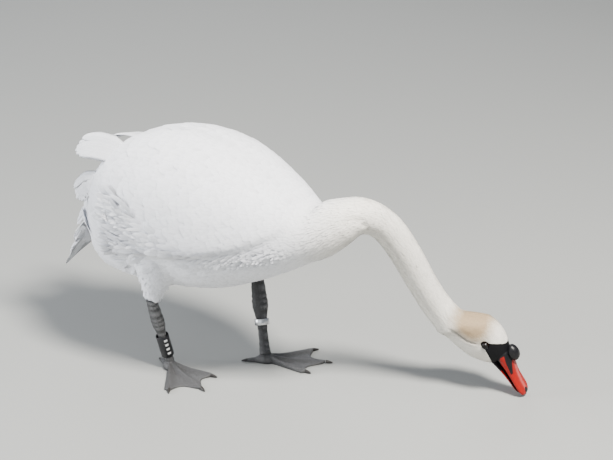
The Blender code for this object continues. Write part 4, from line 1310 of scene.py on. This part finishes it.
def build_head_parts():
    build_mandible("bill_upper_skin", BILL_PROFILE, True, "bill_upper")
    build_mandible("bill_lower_skin", JAW_PROFILE, False, "bill_lower")
    knob = sphere("bill_knob_skin", KNOB_MIDDLE, KNOB_HALF, 48, 32, knob_shape, KNOB_TILT)
    ready_piece("bill_knob_skin", knob, KNOB, "knob_skin", "bill_knob")
    for letter, turn in (("L", 1.0), ("R", -1.0)):
        ball = sphere("eyeball_" + letter, EYE_PLACE * (1.0, turn, 1.0), (EYE_RADIUS,) * 3, 40, 28)
        ready_piece("eyeball_" + letter, ball, EYE, "eye", "eye_" + letter)
        eyelid("eyelid_" + letter, turn)


# ---- legs, feet, claws and rings

LEG_VOXEL = 0.0011
LEG_DARK, BAND_PALE, FOOT_PALE = 0.026, 0.095, 0.020    # the grey, what the bands add (real scale rows, pale only on the leg's front as painted light) and what the foot adds
RING_TURNS = 72
PLASTIC_RING = {"at": 0.622, "height": 0.043, "inner": 0.0108, "outer": 0.0118}
METAL_RING = {"at": 0.413, "height": 0.011, "inner": 0.0122, "outer": 0.0133}
DASH_FACES, DASH_PLACES = (0.0, 2.1, 4.2), (-0.0135, -0.0045, 0.0045, 0.0135)   # round and along it
DASH_SECTION = ((0.01172, -0.0021), (0.01190, -0.0020), (0.01190, 0.0020), (0.01172, 0.0021))
BANDS_FROM, BAND_RATE, BAND_WAVER = 0.0006, 50.0, 14.0      # relief in metres, and turns along the leg
SCUTE_SPACING = 0.00235


def leg_ends(letter):
    """Where the bare leg starts, at the hock, and where the foot begins."""
    return [Vector(LEGS[letter][key]) + SHIFT for key in ("hock", "foot")]


def build_leg(letter):
    """Bare leg and webbed foot as one skin, with its scutes, and rounded claws."""
    nodes = ("shank_" + letter, "foot_" + letter)
    bare = joined("leg", (padded_copy(node, 0.0002, levels=0, rounds=0) for node in nodes))
    skin = remeshed("leg_skin_" + letter, bare, LEG_VOXEL)
    mesh = skin.data
    places = spread(mesh, places_of(mesh), 2)
    places[:, 2] = np.maximum(places[:, 2], SHIFT.z)
    put_places(mesh, places)
    normals = normals_of(mesh)
    hock, foot = (np.array(end) for end in leg_ends(letter))
    down = unit(foot - hock)
    toes = places - foot
    toes[:, 2] = 0.0
    flat = smoothstep(-(places[:, 2] - SHIFT.z), -0.030, -0.016)
    lie = down * (1.0 - flat[:, None]) + unit(toes) * flat[:, None]
    note(mesh, lie=laid_flat(lie, normals, 1e-6), outward=normals)
    share = ((places - hock) @ down) / np.linalg.norm(foot - hock)
    bands = 0.5 + 0.5 * np.sin(share * BAND_RATE + 1.5 * np.sin(share * BAND_WAVER))
    places = places + normals * (BANDS_FROM * (bands - 0.5) * (1.0 - flat))[:, None]
    put_places(mesh, places)
    heading = math.radians(LEGS[letter]["toes"])
    # The bands show pale only on the side facing the toes: the scale rows are real, and their paleness
    # on that side is painted light.
    painted_light_front = smoothstep(normals @ np.array((math.cos(heading), math.sin(heading), 0.0)), -0.2, 0.7)
    grey = LEG_DARK + BAND_PALE * bands * painted_light_front * (1.0 - flat) + FOOT_PALE * flat
    note(mesh, tint=opaque(np.stack((grey, grey, grey * 1.02), axis=1)))
    mesh.shade_smooth()
    unwrap(skin)
    mesh.materials.append(LEG)
    ready(skin, "leg_skin", *nodes)
    field = Field(skin, np.ones((len(places), 1)), 31)
    low = SHIFT.z + 0.0016
    found = field.scatter(lambda p, n, s: (p[:, 2] > low) & (n[:, 2] > -0.6), SCUTE_SPACING)
    found["tint"][:, :3] *= 1.25
    lay_coat("leg_scutes_" + letter, "leg_skin", found, SCUTE_VANES, skin, LEG, length=0.0034,
             width=0.00145, lift=0.00016, thickness=0.00020, seed=32, stray=0.04, fluff=0.10)
    nodes = [f"claw_{letter}{index}" for index in range(1, 5)]
    claws = joined("claws", (padded_copy(node, 0.0005, levels=2, rounds=2) for node in nodes))
    ready_piece("claws_" + letter, facing_out(claws), CLAW, "claw", *nodes)


def ring_place(letter, sizes):
    """The middle of a leg ring, its axis down the leg and two directions across it."""
    hock, foot = leg_ends(letter)
    heading = (foot - hock).normalized()
    side = Vector((1, 0, 0)).cross(heading).normalized()
    return hock.lerp(foot, sizes["at"]), heading, side, heading.cross(side).normalized()


def ring_mesh(name, letter, sizes, slit):
    """A band round the leg with rounded edges, open at its slit."""
    middle, heading, side, up = ring_place(letter, sizes)
    half, inner, outer = sizes["height"] / 2.0, sizes["inner"], sizes["outer"]
    soft = (outer - inner) * 0.35
    outline = ((outer - soft, -half), (outer, -half + soft), (outer, half - soft), (outer - soft, half),
               (inner + soft, half), (inner, half - soft), (inner, -half + soft), (inner + soft, -half))
    points = []
    for step in range(RING_TURNS + 1):
        angle = slit / 2.0 + (2.0 * math.pi - slit) * step / RING_TURNS
        way = side * math.cos(angle) + up * math.sin(angle)
        points += [middle + way * radius + heading * along for radius, along in outline]
    count = len(outline)
    faces = band_faces(RING_TURNS + 1, count)
    faces += [tuple(range(count)), tuple(RING_TURNS * count + i for i in range(count))]
    return facing_out(mesh_from(name, points, faces))


def build_rings():
    """The tall black plastic ring, with plain white dashes, and the narrow metal one, left bare."""
    middle, heading, side, up = ring_place("R", PLASTIC_RING)
    plastic = ring_mesh("ring_plastic_band", "R", PLASTIC_RING, 0.05)
    ready_piece("ring_plastic_band", plastic, RING_BLACK, "plastic_ring", "ring_plastic")
    dashes = Shells()
    for face in DASH_FACES:
        for place in DASH_PLACES:
            rows = []
            for turn in np.linspace(-0.27, 0.27, 7):
                angle = face - 2.2 + turn
                way = side * math.cos(angle) + up * math.sin(angle)
                rows.append([middle + way * radius + heading * (place + along)
                             for radius, along in DASH_SECTION])
            dashes.add(rows, [[(0.5, 0.5)] * len(DASH_SECTION)] * len(rows), (0.8, 0.8, 0.8, 1.0))
    dashes.piece("ring_plastic_dashes", RING_WHITE, "plastic_ring")
    metal = ring_mesh("ring_metal_band", "L", METAL_RING, 0.10)
    ready_piece("ring_metal_band", metal, RING_METAL, "metal_ring", "ring_metal")


# ---- the swan's coat

FLANK_LINE = ((-0.30, 0.10), (-0.165, 0.20), (-0.145, 0.318), (-0.115, 0.335), (-0.075, 0.318),
              (-0.035, 0.288), (0.04, 0.268), (0.12, 0.282), (0.20, 0.300))   # above it the wing shows


def grown_by(points):
    """How large the feathers are on the trunk and wings: small at the shoulder, large behind."""
    x = points[:, 0] - SHIFT.x
    return 0.42 + 0.20 * smoothstep(-x, -0.24, -0.12) + 0.68 * smoothstep(-x, -0.16, 0.14)


def flank(points):
    """How far below the flank's upper edge a point is: above 0, body feathers cover the wing."""
    x, z = points[:, 0] - SHIFT.x, points[:, 2]
    return np.interp(x, *zip(*FLANK_LINE)) - z


def ruffle(points):
    """1 where the flank's feathers are fluffed up: over the thigh, and less along the wing's edge."""
    x = points[:, 0] - SHIFT.x
    patch = smoothstep(x, -0.152, -0.134) * (1.0 - smoothstep(x, -0.066, -0.020))
    patch *= smoothstep(flank(points), -0.006, 0.010) * smoothstep(points[:, 2], 0.17, 0.22)
    edge = np.exp(-((flank(points) - 0.018) / 0.015) ** 2) * smoothstep(x, -0.10, -0.05)
    edge *= 1.0 - smoothstep(x, 0.17, 0.22)
    return np.maximum(patch, 0.60 * edge) * (np.abs(points[:, 1] - SHIFT.y) > 0.04)


def build_coat(skin, field):
    """The plumage, region by region: wings, body, neck, head and thighs."""
    def lay(name, slot, found, vanes, finish, **sizes):
        lay_coat(name, slot, found, vanes, skin, finish, **sizes)

    def is_wing(p, n, s):
        return (s[:, REGION["wing"]] > 0.5) & (flank(p) < 0.004)

    def is_body(p, n, s):
        wing = s[:, REGION["wing"]]
        return (s[:, REGION["body"]] + wing > 0.35) & ((wing <= 0.5) | (flank(p) >= 0.0))

    def is_head(p, n, s):
        bare = lores(turned(HEAD_BACK, p)) >= -0.0004
        return (s[:, REGION["head"]] > 0.3) & ~bare & clear_of_eyes(p)

    found = field.scatter(is_wing, lambda p: 0.0080 * grown_by(p))
    grown = grown_by(found["points"])
    rear = smoothstep(-(found["points"][:, 0] - SHIFT.x), 0.185, 0.225)
    lay("wing_coverts", "wing_feathers", found, COVERT_VANES, FEATHER, length=0.052 * grown,
        width=0.0112 * grown, lift=0.0017 * grown, thickness=0.00018, seed=3,
        hug=1.0 - 0.75 * rear, stray=0.05)
    found = field.scatter(is_body, lambda p: 0.0058 * grown_by(p) * (1.0 - 0.28 * ruffle(p)))
    grown = grown_by(found["points"])
    raised = ruffle(found["points"])
    painted_shade_streaks = np.random.default_rng(5).random(len(raised))
    # The fluffed flank feathers are darkened, each by a random amount: painted shade between the raised
    # feathers.
    found["tint"][:, :3] *= (1.0 - 0.24 * raised * painted_shade_streaks)[:, None]
    lay("body_contour_feathers", "body_feathers", found, LOOSE_VANES, PLUME,
        length=0.030 * grown * (1.0 + 0.10 * raised), width=0.0070 * grown * (1.0 - 0.52 * raised),
        lift=0.0020 * grown + 0.0085 * raised, thickness=0.00022, seed=4,
        hug=1.0 - 0.60 * raised, stray=0.12 + 0.28 * raised[:, None])
    for name, low, high, seed in (("neck_plumes_lower", -1.0, 0.5, 6),
                                  ("neck_plumes_upper", 0.5, 2.0, 9)):
        def is_neck(p, n, s, low=low, high=high):
            share = neck_share(p)
            return (s[:, REGION["neck"]] > 0.22) & (share > low) & (share <= high)
        found = field.scatter(is_neck, lambda p: 0.0024 * neck_growth(p))
        grown = neck_growth(found["points"])
        lay(name, "neck_feathers", found, PLUME_VANES, PLUME, length=0.0125 * grown,
            width=0.0015 * grown, lift=0.0009 * grown, thickness=0.00016, seed=seed)
    found = field.scatter(is_head, 0.00160)
    lay("head_plumes", "head_feathers", found, PLUME_VANES, PLUME,
        length=head_length(found["points"]), width=0.0009, lift=0.00070, thickness=0.00011, seed=7)
    found = field.scatter(lambda p, n, s: s[:, REGION["thigh"]] > 0.25, 0.0036)
    lay("thigh_plumes", "body_feathers", found, LOOSE_VANES, PLUME, length=0.019, width=0.0036,
        lift=0.0036, thickness=0.00025, seed=8, stray=0.2)


def neck_growth(points):
    """Neck plumes are largest where they meet the breast."""
    return 1.0 + 0.4 * (1.0 - smoothstep(neck_share(points), 0.0, 0.35))


def head_length(points):
    """Head plumes are shortest round the bill."""
    own = turned(HEAD_BACK, points)
    return 0.0026 + 0.0030 * smoothstep(-own[:, 0], -0.030, 0.030)


def neck_share(points):
    """How far along the neck each point is, 0 at the trunk and 1 at the nape."""
    line, _, shares = neck_samples()
    return shares[nearest_on(line, points, NECK_STEP)]


def clear_of_eyes(points):
    """Whether each point is outside the eyelids."""
    own = turned(HEAD_BACK, points)
    own[:, 1] = np.abs(own[:, 1])
    off = (own - EYE_PLACE) * np.array((1.0, 1.0, 1.2))
    return np.linalg.norm(off, axis=1) > EYE_RADIUS + 0.0014


# ---- everything together

build_camera()
build_stage()
build_lights()

FEATHER = feather_material("white_feather", 120.0, 0.12)
QUILL = feather_material("white_quill", 260.0, 0.40)
PLUME = feather_material("white_plume", 26.0, 0.15)
DOWN = skin_material()
KNOB = worn_material("black_knob_skin", BARE_BLACK[:3], 0.40, 500.0, bump_depth=0.35)
LEG = leg_material()
CLAW = worn_material("dark_claw_horn", (0.022, 0.020, 0.019), 0.40, 400.0)
RING_BLACK = worn_material("black_laminate", (0.014, 0.014, 0.016), 0.32, 200.0)
RING_WHITE = worn_material("white_laminate", (0.72, 0.72, 0.70), 0.40, 200.0)
RING_METAL = worn_material("worn_aluminium", (0.62, 0.63, 0.64), 0.36, 350.0, metallic=1.0)
BILL = bill_material()
EYE = eye_material()

COVERT_VANES, PLUME_VANES, LOOSE_VANES, SCUTE_VANES = (
    vane_set(name, kind, count, root_width=root, widest_at=widest, tip_power=power, ragged=ragged)
    for name, kind, count, root, widest, power, ragged in (
        ("covert_vane", "feather", 4, 0.35, 0.62, 2.4, 0.03),
        ("plume_vane", "plume", 4, 0.45, 0.45, 1.6, 0.12),
        ("loose_vane", "loose", 5, 0.40, 0.50, 1.7, 0.10),
        ("scute", "scute", 3, 0.72, 0.45, 3.0, 0.06)))

SKIN, SHARES = make_skin()
build_coat(SKIN, Field(SKIN, SHARES, 11))
build_wing_quills()
build_tail()
build_head_parts()
build_leg("L")
build_leg("R")
build_rings()
